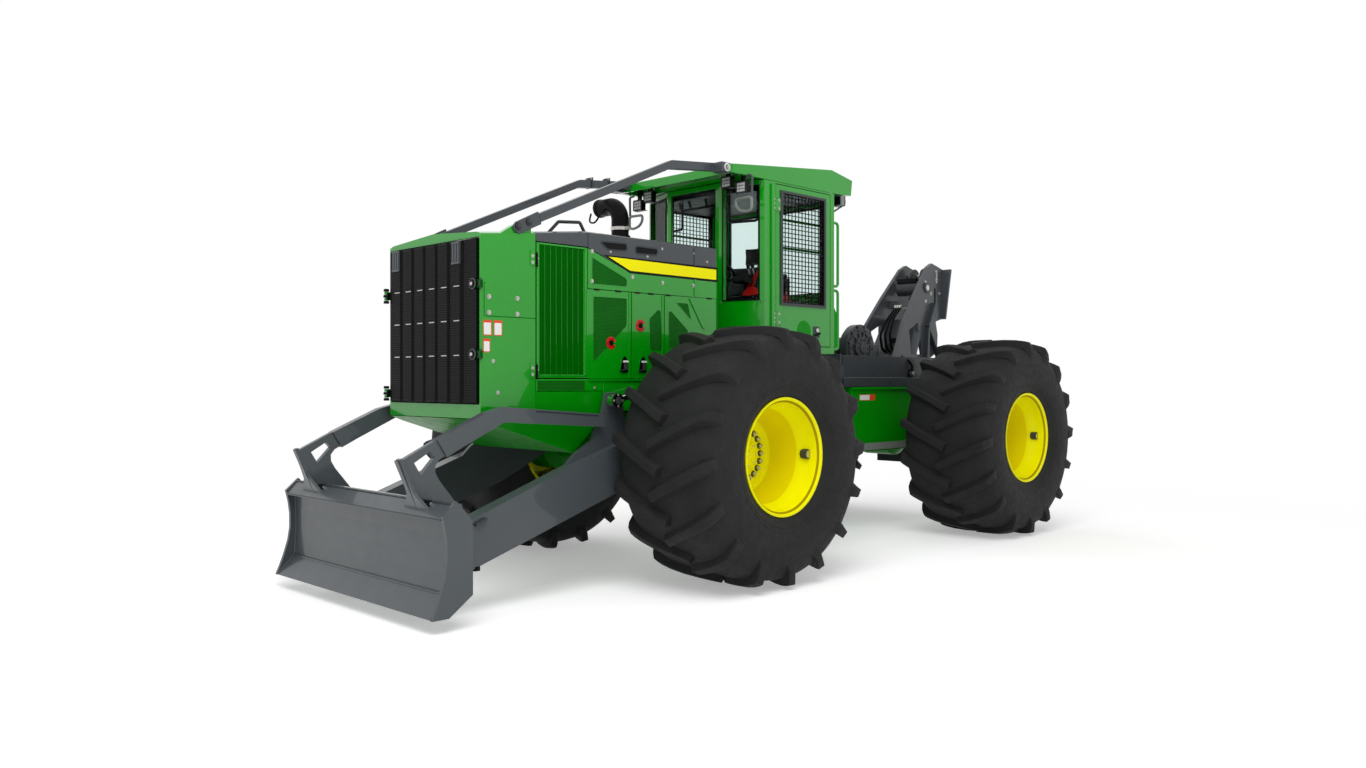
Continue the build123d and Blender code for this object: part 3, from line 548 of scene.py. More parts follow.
def soft_edges(made, width):
    """Rounded edges that catch the light, with flat faces kept flat."""
    if width:
        bevel = made.modifiers.new("Bevel", "BEVEL")
        bevel.width = width
        bevel.segments = 2
        bevel.limit_method = "ANGLE"
        bevel.angle_limit = math.radians(32)
        bevel.harden_normals = True
    weighted = made.modifiers.new("Normals", "WEIGHTED_NORMAL")
    weighted.keep_sharp = True


def finish_node(name, key, bevel):
    """Material and soft edges for a CAD node that stays."""
    made = NODES[name]
    if not made.material_slots:
        made.data.materials.append(MATERIALS[key])
    for holder in made.material_slots:
        holder.material = MATERIALS[key]
    weld = made.modifiers.new("Weld", "WELD")
    weld.merge_threshold = 0.00002
    flat = made.modifiers.new("Flat", "DECIMATE")
    flat.decimate_type = "DISSOLVE"
    flat.angle_limit = math.radians(0.8)
    soft_edges(made, bevel)


KEPT = {
    "green": ["nose_frame", "engine_covers", "side_skirts", "cab_base", "cab_frame", "cab_roof",
              "cab_door_left", "cab_door_right", "louvre_door_left", "louvre_door_right", "handrails"],
    "green_low": ["lower_hull", "front_chassis", "rear_frame", "front_axle", "rear_axle"],
    "grey": ["hood_top", "limb_risers", "arch_tower", "arch_flanges"],
    "grey_blade": ["blade", "push_arms", "butt_plate"],
    "grey_dark": ["rear_deck", "winch_housing", "cab_steps", "hood_handle"],
    "black": ["radiator", "engine_block", "exhaust_stack", "lift_barrel_left", "lift_barrel_right",
              "steer_barrel_left", "steer_barrel_right"],
    "cast": ["winch_drum", "fairlead_roller"],
    "chrome": ["lift_rod_left", "lift_rod_right", "steer_rod_left", "steer_rod_right"],
    "glass": ["cab_glass", "door_window_left", "door_window_right"],
    "plastic": ["seat_base", "controls"],
}
for key, names in KEPT.items():
    for name in names:
        finish_node(name, key, 0.0 if key == "glass" else 0.003)


# ---- Tyres and rims

LUGS = 16
LUG_PITCH = 2 * math.pi / LUGS
# Where the first lug starts, the radius over the lugs, how far a lug turns for each metre across,
# and how much wider its foot is than its top
LUG_START = math.radians(173.3)
TREAD_R = 0.945
LUG_SLOPE = math.radians(13.8) * TREAD_R / 0.48
LUG_FOOT = 1.75
# (x, radius) down the carcass from the crown to the bead
CARCASS = [(0, 0.897), (0.1, 0.896), (0.2, 0.893), (0.3, 0.882), (0.37, 0.862), (0.41, 0.836), (0.435, 0.8),
           (0.45, 0.755), (0.459, 0.705), (0.462, 0.655), (0.461, 0.61), (0.455, 0.565), (0.445, 0.525),
           (0.434, 0.496), (0.4335, 0.49), (0.426, 0.484), (0.415, 0.462), (0.403, 0.44), (0.395, 0.43)]
# The same line from the bead round inside the rim
BEAD = [(0.386, 0.428), (0.372, 0.404), (0.3, 0.404)]
# (x, radius) of the raised lines round each wall
WALL_RIBS = [(0.4505, 0.738), (0.4455, 0.527), (0.4335, 0.495)]
# Stations along a lug: turn back in degrees, top (x, r), foot (x, r), half width, slant
LUG_LINE = [
    (0.0, (-0.045, 0.9445), (-0.058, 0.89), 0.031, 1.0),
    (2.0, (0.02, 0.9445), (0.02, 0.888), 0.03, 1.0),
    (4.9, (0.12, 0.944), (0.12, 0.886), 0.029, 1.0),
    (7.7, (0.22, 0.942), (0.22, 0.883), 0.029, 1.0),
    (10.6, (0.32, 0.934), (0.32, 0.87), 0.029, 1.0),
    (12.6, (0.39, 0.922), (0.385, 0.848), 0.03, 0.8),
    (13.8, (0.434, 0.909), (0.415, 0.82), 0.032, 0.4),
    (14.6, (0.45, 0.87), (0.43, 0.79), 0.034, 0.1),
    (15.2, (0.459, 0.82), (0.44, 0.765), 0.036, 0.0),
    (15.6, (0.459, 0.78), (0.447, 0.74), 0.038, 0.0),
]


def lug(start, side):
    """One tread bar from near the crown out over the shoulder."""
    along = Vector((1, -LUG_SLOPE)).normalized()
    across = Vector((-along.y, along.x))
    points = []
    for turn, top, foot, half, slant in LUG_LINE:
        angle = start - math.radians(turn)
        for (x, radius), spread in ((foot, -LUG_FOOT), (top, -1.0), (top, 1.0), (foot, LUG_FOOT)):
            shift = half * spread
            turned = angle + (across.y * slant + (1 - slant)) * shift / TREAD_R
            out = side * (x + across.x * shift * slant)
            points.append(Vector((out, radius * math.cos(turned), radius * math.sin(turned))))
    rows = len(LUG_LINE)
    faces = [(0, 1, 2, 3), tuple(4 * rows - 1 - i for i in range(4))]
    for row in range(rows - 1):
        a, b = 4 * row, 4 * row + 4
        faces += [(a + k, b + k, b + (k + 1) % 4, a + (k + 1) % 4) for k in range(4)]
    return points, faces


def carried(parts, centre):
    """Parts made round the origin, carried to a centre in the frame's coordinates."""
    place = Vector(centre) - Vector((0, MID_Y, 0))
    return [(moved(shape, place), key) for shape, key in parts]


def make_tyre(corner, centre, side):
    """Lugged tyre in place of the plain ring."""
    outside = CARCASS + BEAD
    profile = [(-x, r) for x, r in reversed(outside)] + outside[1:]
    parts = [(lathe(profile, (0, 0, 0), segments=128, closed=True), "rubber")]
    for x, r in WALL_RIBS:
        for end in (-1, 1):
            rib = [(end * (x - 0.006), r + 0.01), (end * (x + 0.0035), r + 0.006),
                   (end * (x + 0.0035), r - 0.003), (end * (x - 0.008), r - 0.01)]
            add(parts, "rubber", lathe(rib, (0, 0, 0), segments=128, closed=True))
    for k in range(LUGS):
        for end in (-1, 1):
            turn = LUG_START + LUG_PITCH * (k + (0.5 if end * side < 0 else 0))
            add(parts, "rubber", lug(turn, end))
    piece(f"tread_{corner}", f"wheel_{corner}", carried(parts, centre), bevel=0.006, sharp=28,
          instead=[f"tyre_{corner}"])


# (x, radius) round the rim's section, outer side at +x
RIM = [(0.405, 0.42), (0.4045, 0.411), (0.4, 0.4065), (0.392, 0.4045), (0.382, 0.398), (0.372, 0.388),
       (0.318, 0.384), (0.3, 0.38), (0.25, 0.356), (0.236, 0.3505), (0.222, 0.345), (0.022, 0.276),
       (0.008, 0.27), (0.001, 0.262), (0, 0.25), (0, 0.1), (-0.111, 0.1), (-0.111, 0.121), (-0.024, 0.121),
       (-0.024, 0.276), (0.176, 0.3455), (-0.215, 0.3455), (-0.232, 0.349), (-0.3, 0.381),
       (-0.318, 0.384), (-0.372, 0.388), (-0.392, 0.4045), (-0.405, 0.411), (-0.405, 0.426),
       (-0.392, 0.426), (-0.378, 0.402), (-0.31, 0.4), (-0.218, 0.361), (0.218, 0.361), (0.31, 0.4),
       (0.378, 0.402), (0.39, 0.424), (0.398, 0.4265), (0.4035, 0.425)]
# (x, radius) of the hub's cover, of a darker ring over the cone between the dish and the barrel (painted
# shade), and of a darker line round the outer bead seat (painted shade in its groove)
HUB = [(-0.105, 0), (-0.105, 0.099), (0.03, 0.099), (0.044, 0.09), (0.052, 0.074), (0.056, 0.03),
       (0.066, 0.027), (0.066, 0)]
CONE = [(0.0215, 0.2763), (0.2205, 0.3445), (0.2215, 0.3435), (0.0225, 0.2753)]
BEAD_SEAT_SHADE = [(0.376, 0.3905), (0.3895, 0.4035), (0.3905, 0.4025), (0.377, 0.3895)]
BOLT_CIRCLE = 0.185
BOLTS = 20


def make_rim(corner, centre, side):
    """Deep dished rim with its wheel bolts, hub cover and valve plug."""
    parts = []
    middle = (0, 0, 0)
    add(parts, "yellow", lathe(RIM, middle, segments=96, closed=True), lathe(HUB, middle, segments=48))
    # A darker yellow ring over the cone: painted shade on the well's wall
    add(parts, "yellow_painted_shade", lathe(CONE, middle, segments=96, closed=True))
    nut = [(0, 0), (0, 0.0175), (0.022, 0.0175), (0.026, 0.014), (0.026, 0)]
    for spot in around(BOLTS, BOLT_CIRCLE, middle):
        add(parts, "cast", disc(spot, 0.024, 0.005, segments=20))
        add(parts, "steel",
            lathe(nut, spot, segments=6),
            disc((0.025, spot[1], spot[2]), 0.01, 0.01, segments=12))
    bolts(parts, "steel", 0.014, 0.008, *around(8, 0.08, (0.04, 0, 0)))
    # A darker yellow line at the outer bead seat: painted shade in its groove
    add(parts, "yellow_groove_shade", lathe(BEAD_SEAT_SHADE, middle, segments=96, closed=True))
    plug = [(0, 0), (0, 0.037), (0.052, 0.037), (0.058, 0.031), (0.058, 0)]
    add(parts, "cast", lathe(plug, (0.262, 0.366, 0), segments=8))
    add(parts, "steel", disc((0.32, 0.366, 0), 0.028, 0.001, segments=20))
    parts = carried(flipped(parts) if side < 0 else parts, centre)
    piece(f"disc_{corner}", f"wheel_{corner}", parts, bevel=0.0012,
          instead=[f"rim_{corner}"])


def make_wheels():
    """Tyre and rim of every wheel."""
    for corner in ("front_left", "front_right", "rear_left", "rear_right"):
        centre = JOINTS[f"wheel_{corner}_spin"]["pos_m"]
        side = 1 if centre[0] > 0 else -1
        make_tyre(corner, centre, side)
        make_rim(corner, centre, side)


# ---- Nose, grille and hood

# Left side of the hull, and heights of its hinges, of the grille's clasps and of its pins
HULL_X = 0.584
HINGES = (2.327, 1.56)
CLASPS = (2.125, 1.661)
DOOR_PINS = (2.108, 1.396)
# (y, z) on the side of the nose, the hood and the covers; each plate is y, y, z, z
NOSE_BOLTS = [(-3.584, 2.043), (-3.356, 2.043), (-3.584, 1.938), (-3.356, 1.937)]
NOSE_PLATES = [(-3.631, -3.563, 1.786, 1.889), (-3.547, -3.479, 1.786, 1.889),
               (-3.631, -3.575, 1.675, 1.766)]
NOSE_SEAMS = [((-3.615, 1.9145), (-3.205, 1.9145)), ((-3.622, 1.915), (-3.622, 2.135)),
              ((-3.622, 2.135), (-3.612, 2.135))]
COVER_BOLTS = [(-2.7, 2.42), (-2.7, 2.205), (-2.306, 2.262), (-1.996, 2.24), (-1.66, 2.24)]
HOOD_BOLTS = [(-1.648, 2.494), (-2.153, 2.428), (-2.523, 2.432), (-1.999, 2.5), (-1.5, 2.44)]
STRIPE = [(-2.548, 2.395), (-1.394, 2.386), (-1.394, 2.302), (-2.331, 2.306)]
COVER_INSETS = [
    [(-2.69, 2.098), (-2.361, 2.099), (-2.362, 1.894), (-2.662, 1.637), (-2.69, 1.63)],
    [(-2.138, 1.956), (-2.043, 2.034), (-2.012, 2.02), (-1.998, 1.716), (-2.127, 1.712)],
    [(-1.933, 2.02), (-1.905, 2.029), (-1.714, 1.88), (-1.714, 1.738), (-1.933, 1.738)],
    [(-1.852, 2.096), (-1.717, 2.097), (-1.68, 1.961)],
    [(-2.7, 2.379), (-2.361, 2.244), (-2.361, 2.184), (-2.7, 2.184)],
]
HOOD_SLOTS = [
    [(-2.621, 2.497), (-2.365, 2.502), (-2.365, 2.453), (-2.552, 2.448)],
    [(-2.273, 2.494), (-2.049, 2.492), (-2.054, 2.448), (-2.273, 2.442)],
]


def make_grille():
    """Folded mesh columns with clips and two lamps, in the door's frame."""
    left, right, low, high, front = -0.56, 0.56, 1.338, 2.428, -3.664
    columns, pitch, first = 6, 0.155, -0.52
    outer = rectangle((left, right), (low, high))
    height = (low + 0.02, high - 0.02)
    parts = []
    add(parts, "black",
        ring("Y", outer, grown(outer, -0.028), -3.66, -3.634),
        block((left + 0.02, right - 0.02), (-3.64, -3.634), height))
    starts = [first + column * pitch for column in range(columns)]
    folds = [(-0.556, front)]
    for x in starts:
        folds += [(x, front), (x, -3.673), (x + 0.118, -3.673), (x + 0.15, -3.65)]
    folds += [(0.408, front), (0.556, front)]
    back = [(x, -3.6445) for x, _ in reversed(folds)]
    add(parts, "grille_mesh",
        prism("Y", rectangle((-0.55, 0.55), height), -3.646, -3.644),
        prism("Z", folds + back, low + 0.006, high - 0.006))
    for x in starts:
        for z in (2.122, 1.89, 1.657):
            add(parts, "steel", block((x + 0.048, x + 0.116), (-3.677, -3.6725), span(z, 0.0035)))
        for z in (low + 0.012, high - 0.012):
            add(parts, "black", block((x + 0.004, x + 0.116), (-3.6749, -3.671), span(z, 0.006)))
    for x, z in ((-0.504, 2.276), (0.281, 2.27)):
        add(parts, "grey_dark", block((x, x + 0.1), (-3.677, -3.66), (z, z + 0.15)))
        for edge in (z, z + 0.134):
            add(parts, "grey", block((x, x + 0.1), (-3.682, -3.675), (edge, edge + 0.016)))
        for k in range(3):
            start = x + 0.008 + 0.031 * k
            add(parts, "grey", block((start, start + 0.02), (-3.681, -3.675), (z + 0.018, z + 0.132)))
    collar = [(-0.02, 0.03), (-0.024, 0.032), (-0.024, 0.036), (-0.018, 0.038)]
    for z in CLASPS:
        add(parts, "black", disc((0.54, front, z), 0.036, -0.022, "Y"))
        add(parts, "grey", lathe(collar, (0.54, front, z), "Y", 24, True))
        add(parts, "steel", disc((0.54, -3.686, z), 0.014, -0.012, "Y", 6))
        add(parts, "green_low", block((0.545, 0.5615), (-3.682, -3.655), span(z, 0.014)))
    for z in DOOR_PINS:
        add(parts, "black", disc((-0.566, -3.68, z - 0.03), 0.009, 0.06, "Z", 12))
    piece("grille_mesh", "grille", parts, bevel=0.0012, instead=["grille_door"])


def on_hull(parts, key, low, high, y, z):
    """Block on the left side of the hull, between two distances from its skin."""
    add(parts, key, block((HULL_X + low, HULL_X + high), y, z))


def make_nose_trim():
    """Bolts, blank plates, seams and hinge leaves on the nose's sides."""
    x = HULL_X
    parts = []
    bolts(parts, "steel", 0.012, 0.011, *[(x, y, z) for y, z in NOSE_BOLTS])
    bolts(parts, "steel", 0.009, 0.009, (x, -3.552, 1.617), (x, -3.514, 1.408))
    for y0, y1, z0, z1 in NOSE_PLATES:
        outer = softened(rectangle((y0, y1), (z0, z1)), 0.008)
        add(parts, "warning_edge", prism("X", outer, x, x + 0.0012))
        inner = softened(rectangle((y0 + 0.006, y1 - 0.006), (z0 + 0.006, z1 - 0.018)), 0.005)
        add(parts, "plate", prism("X", inner, x + 0.0011, x + 0.0018))
    for (y0, z0), (y1, z1) in NOSE_SEAMS:
        add(parts, "green_shade", strip((x, y0, z0), (x, y1, z1), 0.005, 0.0006, (1, 0, 0)))
    for z in HINGES:
        on_hull(parts, "green", -0.002, 0.006, (-3.25, -3.212), span(z, 0.052))
        bolts(parts, "steel", 0.008, 0.008, (x + 0.006, -3.232, z + 0.014), (x + 0.006, -3.232, z - 0.03))
    parts = both(parts)
    for z in CLASPS:
        on_hull(parts, "green_shade", -0.03, 0.012, (-3.668, -3.64), span(z, 0.026))
        pull = [(x + 0.01, -3.655, z - 0.035), (x + 0.016, -3.672, z), (x + 0.01, -3.655, z + 0.035)]
        add(parts, "cast", bar(pull, 0.005, 0.01))
    for z in DOOR_PINS:
        for k, radius in enumerate((0.021, 0.017, 0.023, 0.017, 0.021)):
            knuckle = disc((-0.592, -3.676, z - 0.055 + 0.022 * k), radius, 0.02, "Z", 8)
            add(parts, ("black", "green")[k % 2], knuckle)
        add(parts, "black", block((-0.596, -0.584), (-3.674, -3.6), span(z, 0.03)))
    piece("nose_trim", "front", parts, bevel=0.0008)


def make_louvres():
    """Upright blades in the recess of each side door, with its hinge knuckles."""
    start, end, count, low, high = -3.166, -2.772, 8, 1.52, 2.436
    step = (end - start) / count
    parts = []
    for k in range(count):
        y = start + k * step
        blade = [(0.5762, y + 0.001), (0.581, y + 0.005), (0.5832, y + step - 0.01),
                 (0.5762, y + step - 0.002)]
        # The blades take the darker green as painted shade in the recess
        add(parts, "green_shade", prism("Z", blade, low + 0.014, high - 0.014))
    for z in HINGES:
        add(parts, "black", disc((0.588, -3.195, z - 0.055), 0.0085, 0.11, "Z", 12))
        add(parts, "green", block((0.583, 0.5895), (-3.199, -3.18), span(z, 0.05)))
        add(parts, "steel", disc((0.5895, -3.187, z), 0.006, 0.004, "X", 10))
    edges = [((-3.178, -2.76), (low, low + 0.008)), ((-3.178, -2.76), (high - 0.008, high)),
             ((-3.18, -3.172), (low, high)), ((-2.766, -2.758), (low, high))]
    for y, z in edges:
        add(parts, "green", block((0.583, 0.5865), y, z))
    for side, made in (("left", parts), ("right", flipped(parts))):
        piece(f"louvre_blades_{side}", f"louvre_{side}", made, bevel=0.0008)


def make_hood_trim():
    """Stripe, mesh slots, bolts, seams and the raised rear flange of the hood."""
    x = HULL_X
    parts = []
    add(parts, "black", prism("X", grown(STRIPE, 0.017), x - 0.0005, x + 0.001))
    add(parts, "stripe", prism("X", grown(STRIPE, -0.001), x + 0.0008, x + 0.0022))
    for outline in HOOD_SLOTS:
        soft = softened(outline, 0.028)
        add(parts, "slot_mesh", prism("X", grown(soft, 0.004), x - 0.0045, x - 0.0012))
        add(parts, "grey_dark", ring("X", grown(soft, 0.01), grown(soft, -0.002), x - 0.001, x + 0.0022))
    bolts(parts, "steel", 0.006, 0.0065, *[(x, y, z) for y, z in HOOD_BOLTS])
    on_hull(parts, "grey", 0, 0.007, (-1.65, -1.63), (2.4, 2.536))
    on_hull(parts, "black", 0, 0.0007, (-2.7395, -2.7345), (2.448, 2.548))
    piece("hood_trim", "front", both(parts), bevel=0.0008)


def cover_lock(parts, y, z):
    """Round lock with a red ring, a pointer and five dots."""
    x = HULL_X
    collar = [(0, 0.022), (0.003, 0.022), (0.004, 0.024), (0.004, 0.044), (0.003, 0.046), (0, 0.046)]
    add(parts, "red", lathe(collar, (x, y, z), "X", 32, True))
    add(parts, "black", disc((x, y, z), 0.021, 0.01, "X", 8))
    on_hull(parts, "green", 0.004, 0.0055, (y + 0.01, y + 0.048), (z - 0.012, z + 0.01))
    dots = around(6, 0.034, (x + 0.004, y, z), math.radians(60))[:5]
    add(parts, "black", *[disc(spot, 0.004, 0.0006, "X", 8) for spot in dots])


def cover_latch(parts, y, z):
    """Drop latch on its base."""
    x = HULL_X
    base = [(y - 0.042, z - 0.056), (y + 0.034, z - 0.06), (y + 0.03, z + 0.034), (y, z + 0.066),
            (y - 0.024, z + 0.034)]
    add(parts, "black", prism("X", softened(base, 0.014), x, x + 0.006))
    on_hull(parts, "cast", 0.006, 0.016, (y - 0.01, y + 0.018), (z - 0.036, z + 0.024))
    on_hull(parts, "plate", 0.005, 0.021, (y - 0.018, y + 0.024), (z + 0.016, z + 0.03))
    grip = [(x + 0.01, y - 0.05, z - 0.047), (x + 0.016, y - 0.01, z - 0.04),
            (x + 0.016, y + 0.02, z - 0.036)]
    add(parts, "plastic", bar(grip, 0.006, 0.01))


def make_cover_trim():
    """Mesh insets, locks, latches, hinge tabs and lips of the engine covers."""
    x, height = HULL_X, (1.506, 2.142)
    parts = []
    for outline in COVER_INSETS:
        soft = softened(outline, 0.02)
        add(parts, "cover_mesh", prism("X", grown(soft, 0.002), x - 0.0045, x - 0.0015))
        add(parts, "green", ring("X", grown(soft, 0.004), grown(soft, -0.003), x - 0.0018, x + 0.0012))
    for y in (-2.656, -2.45, -2.256, -2.119, -1.937, -1.476):
        on_hull(parts, "black", -0.006, 0.004, span(y, 0.026), (2.141, 2.153))
    bolts(parts, "steel", 0.01, 0.01, *[(x, y, z) for y, z in COVER_BOLTS])
    for y in (-2.324, -1.984, -2.735):
        on_hull(parts, "green", -0.001, 0.006, (y - 0.02, y - 0.004), height)
    for y in (-2.316, -1.976):
        on_hull(parts, "green", -0.001, 0.006, (y, y + 0.012), height)
    on_hull(parts, "green", 0, 0.01, (-2.734, -1.4), (1.486, 1.499))
    add(parts, "green", strip((x, -1.7, 2.138), (x, -1.54, 1.905), 0.022, 0.008, (1, 0, 0)))
    on_hull(parts, "green", 0, 0.007, (-1.65, -1.63), (2.16, 2.29))
    cover_lock(parts, -2.519, 1.764)
    cover_lock(parts, -2.227, 1.903)
    cover_latch(parts, -2.388, 1.607)
    cover_latch(parts, -2.202, 1.607)
    add(parts, "cover_mesh", prism("X", rectangle((-3.187, -2.768), (1.42, 1.488)), x, x + 0.0012))
    bolts(parts, "steel", 0.008, 0.008, (x, -2.672, 1.438))
    bolts(parts, "steel", 0.01, 0.01, *[(x, y, 1.34) for y in (-2.45, -2.05, -1.7)])
    piece("cover_trim", "front", both(parts), bevel=0.0008)


# ---- Exhaust, handle and risers

# (x, y) of the exhaust and (y, z) of the riser's pin
STACK = (-0.28, -1.665)
RISER_PIN = (-1.378, 3.203)


def make_stack_trim():
    """Clamp, bands and stays of the exhaust, and the riser's pins and the handle's feet."""
    (x, y), mouth_z = STACK, 2.978
    parts = []
    band = [(-0.014, 0.074), (-0.014, 0.081), (0.014, 0.081), (0.014, 0.074)]
    add(parts, "steel",
        lathe(band, (x, y, 2.775), "Z", 40, True),
        block((x + 0.074, x + 0.105), span(y, 0.014), (2.762, 2.788)))
    flare = [(0, 0.126), (0.01, 0.134), (0.022, 0.128), (0.06, 0.106), (0.105, 0.088), (0.118, 0.086),
             (0.118, 0.07), (0, 0.1)]
    mouth = [(0, 0.078), (-0.03, 0.08), (-0.034, 0.074), (-0.034, 0.062), (0, 0.062)]
    add(parts, "black",
        lathe(flare, (x, y, 2.6), "Z", 40, True),
        lathe(mouth, (x - 0.236, y, mouth_z), "X", 36, True))
    add(parts, "plastic", disc((x - 0.271, y, mouth_z), 0.066, -0.001, "X", 32))
    stay = [(x - 0.12, y - 0.07, 2.95), (x - 0.12, y - 0.12, 2.9), (x - 0.18, y - 0.125, 2.83),
            (x - 0.28, y - 0.11, 2.85), (x - 0.3, y - 0.07, 2.93)]
    add(parts, "black", bar(stay, 0.008, 0.06))
    sides = []
    for by, bz in ((-3.354, 2.531), (-3.265, 2.569)):
        add(sides, "black", disc((0.59, by, bz), 0.025, 0.004))
        bolts(sides, "cast", 0.014, 0.015, (0.594, by, bz))
    add(sides, "plate", disc((0.69, *RISER_PIN), 0.034, 0.004))
    add(sides, "cast", disc((0.694, *RISER_PIN), 0.022, 0.006))
    bolts(sides, "steel", 0.01, 0.012, (0.7, *RISER_PIN))
    add(sides, "grey",
        block((0.52, 0.594), (-1.352, -1.328), (3.186, 3.262)),
        block((0.587, 0.6915), (-1.4415, -1.345), (3.1645, 3.24)))
    parts += both(sides)
    for ry, low_z in ((-1.771, 3.142), (-1.578, 3.163)):
        add(parts, "grey_dark", block((-0.6, -0.514), span(ry, 0.006), (low_z, low_z + 0.092)))
        for bx in (-0.594, -0.52):
            add(parts, "steel", *bolt((bx, ry - 0.006, low_z + 0.082), "Y", -0.01, 0.007))
    for hy, hz in ((-3.02, 2.522), (-2.66, 2.548)):
        add(parts, "grey_dark", block((0.44, 0.5), span(hy, 0.045), (hz - 0.012, hz + 0.006)))
    piece("stack_trim", "front", parts, bevel=0.001)


# ---- Cab

# Outer face of the left door, (y, z) limits of its window and guard, and the heights of its hinges
DOOR_X = 0.7
WINDOW = ((-0.71, -0.116), (2.14, 3.09))
GUARD = ((-0.726, -0.101), (2.128, 3.101))
CAB_HINGES = (2.975, 2.015)
WIRES_ACROSS, WIRES_UP = 13, 25


def make_door_trim():
    """Window guard of woven wire, its frame, hinges, handle and bare badge of each cab door."""
    x = DOOR_X
    (y0, y1), (z0, z1) = WINDOW
    inner = rectangle(*WINDOW)
    parts = []
    add(parts, "grey_dark", ring("X", rectangle(*GUARD), grown(inner, -0.01), x - 0.001, x + 0.012))
    add(parts, "black", ring("X", grown(inner, 0.004), grown(inner, -0.02), x - 0.03, x + 0.004))
    for k in range(1, WIRES_ACROSS):
        y = y0 + (y1 - y0) * k / WIRES_ACROSS
        add(parts, "black", bar([(x + 0.004, y, z0 - 0.002), (x + 0.004, y, z1 + 0.002)], 0.0048, count=6))
    for k in range(1, WIRES_UP):
        z = z0 + (z1 - z0) * k / WIRES_UP
        add(parts, "black", bar([(x - 0.002, y0 - 0.002, z), (x - 0.002, y1 + 0.002, z)], 0.0042, count=6))
    for z in (2.62, 2.86):
        add(parts, "green_shade", block((x - 0.03, x - 0.018), (y0, y1), span(z, 0.01)))
    for z in CAB_HINGES:
        add(parts, "green",
            block((x, x + 0.008), (-0.78, -0.728), span(z, 0.055)),
            disc((x + 0.006, -0.79, z - 0.06), 0.013, 0.12, "Z", 16))
        bolts(parts, "steel", 0.009, 0.008, *[(x + 0.008, -0.752, bz) for bz in span(z, 0.035)])
    badge = [(-0.5, 1.87), (-0.5, 1.96), (-0.44, 2.01), (-0.37, 2.01), (-0.31, 1.96), (-0.31, 1.87)]
    add(parts, "green_low", prism("X", softened(badge, 0.04), x, x + 0.0012))
    plate = rectangle((-0.275, -0.19), (1.865, 1.965))
    add(parts, "grey_dark", prism("X", softened(plate, 0.012), x, x + 0.005))
    add(parts, "steel", disc((x + 0.005, -0.225, 1.93), 0.02, 0.01))
    handle = [(x + 0.006, -0.255, 1.885), (x + 0.03, -0.245, 1.89), (x + 0.03, -0.205, 1.9),
              (x + 0.006, -0.2, 1.905)]
    add(parts, "black", bar(handle, 0.007, 0.012))
    for side, made in (("left", parts), ("right", flipped(parts))):
        piece(f"door_guard_{side}", f"door_{side}", made, bevel=0.0008)


def make_cab_trim():
    """Hinge posts, window seals, lining, headliner, bolts and the bars inside the cab."""
    front, rear, low, high = (0.345, -1.06), (0.656, -0.949), 2.166, 3.118
    parts = []
    add(parts, "green", block((0.7, 0.716), (-0.85, -0.806), (1.9, 3.14)))
    for z in CAB_HINGES:
        add(parts, "green_low", block((0.7, 0.712), (-0.845, -0.805), span(z, 0.06)))
        bolts(parts, "steel", 0.01, 0.008, *[(0.712, -0.822, z + step) for step in (-0.038, 0, 0.038)])
    front_post = [(0.338, -1.037), (0.3, -1.037), (0.3, -1.0), (0.338, -0.985)]
    door_post = [(0.652, -0.905), (0.652, -0.79), (0.62, -0.79), (0.62, -0.92)]
    seals = [((*front, z), (*rear, z)) for z in (low, high)]
    seals += [((*spot, low), (*spot, high)) for spot in (front, rear)]
    add(parts, "black",
        prism("Z", front_post, 2.17, 3.12),
        prism("Z", door_post, 1.8, 3.12),
        block((0.6, 0.655), (-0.05, -0.012), (2.17, 3.12)),
        *[bar(seal, 0.006) for seal in seals])
    for x, y in ((0.33, -1.064), (0.672, -0.941)):
        for z in (2.15, 3.128):
            add(parts, "steel", disc((x, y, z), 0.009, -0.006, "Y", 12))
    grab = [(0.285, -0.91, 3.11), (0.285, -0.91, 2.85), (0.565, -0.86, 2.845), (0.565, -0.86, 3.11)]
    add(parts, "black", bar(grab, 0.011, 0.03))
    tab = [(0.028, 1.79), (0.096, 1.79), (0.096, 2.09), (0.028, 2.18)]
    add(parts, "green_low", prism("X", tab, 0.676, 0.683))
    top_bar = [(-0.1, -1.015, 3.07), (-0.1, -0.99, 3.0), (0.22, -0.99, 3.0), (0.22, -1.015, 3.07)]
    add(parts, "black", bar(top_bar, 0.012, 0.03))
    parts = both(parts)
    liner = [(0.265, -1.02), (0.64, -0.88), (0.64, -0.02), (-0.64, -0.02), (-0.64, -0.88), (-0.265, -1.02)]
    frame_bar = [(x, -1.05, z) for x, z in rectangle((-0.26, 0.26), (2.52, 3.112))]
    add(parts, "black",
        prism("Z", liner, 3.085, 3.16),
        bar(frame_bar, 0.007, 0.02, closed=True))
    opening = rectangle((-0.56, 0.56), (2.27, 3.06))
    add(parts, "grey_dark", ring("Y", grown(opening, 0.026), grown(opening, -0.004), 0.029, 0.04))
    add(parts, "black", ring("Y", opening, grown(opening, -0.016), 0.01, 0.032))
    for bx in (-0.573, -0.19, 0.19, 0.573):
        for bz in (2.257, 3.073):
            add(parts, "steel", *bolt((bx, 0.04, bz), "Y", 0.007, 0.008))
    piece("cab_trim", "front", parts, bevel=0.001)


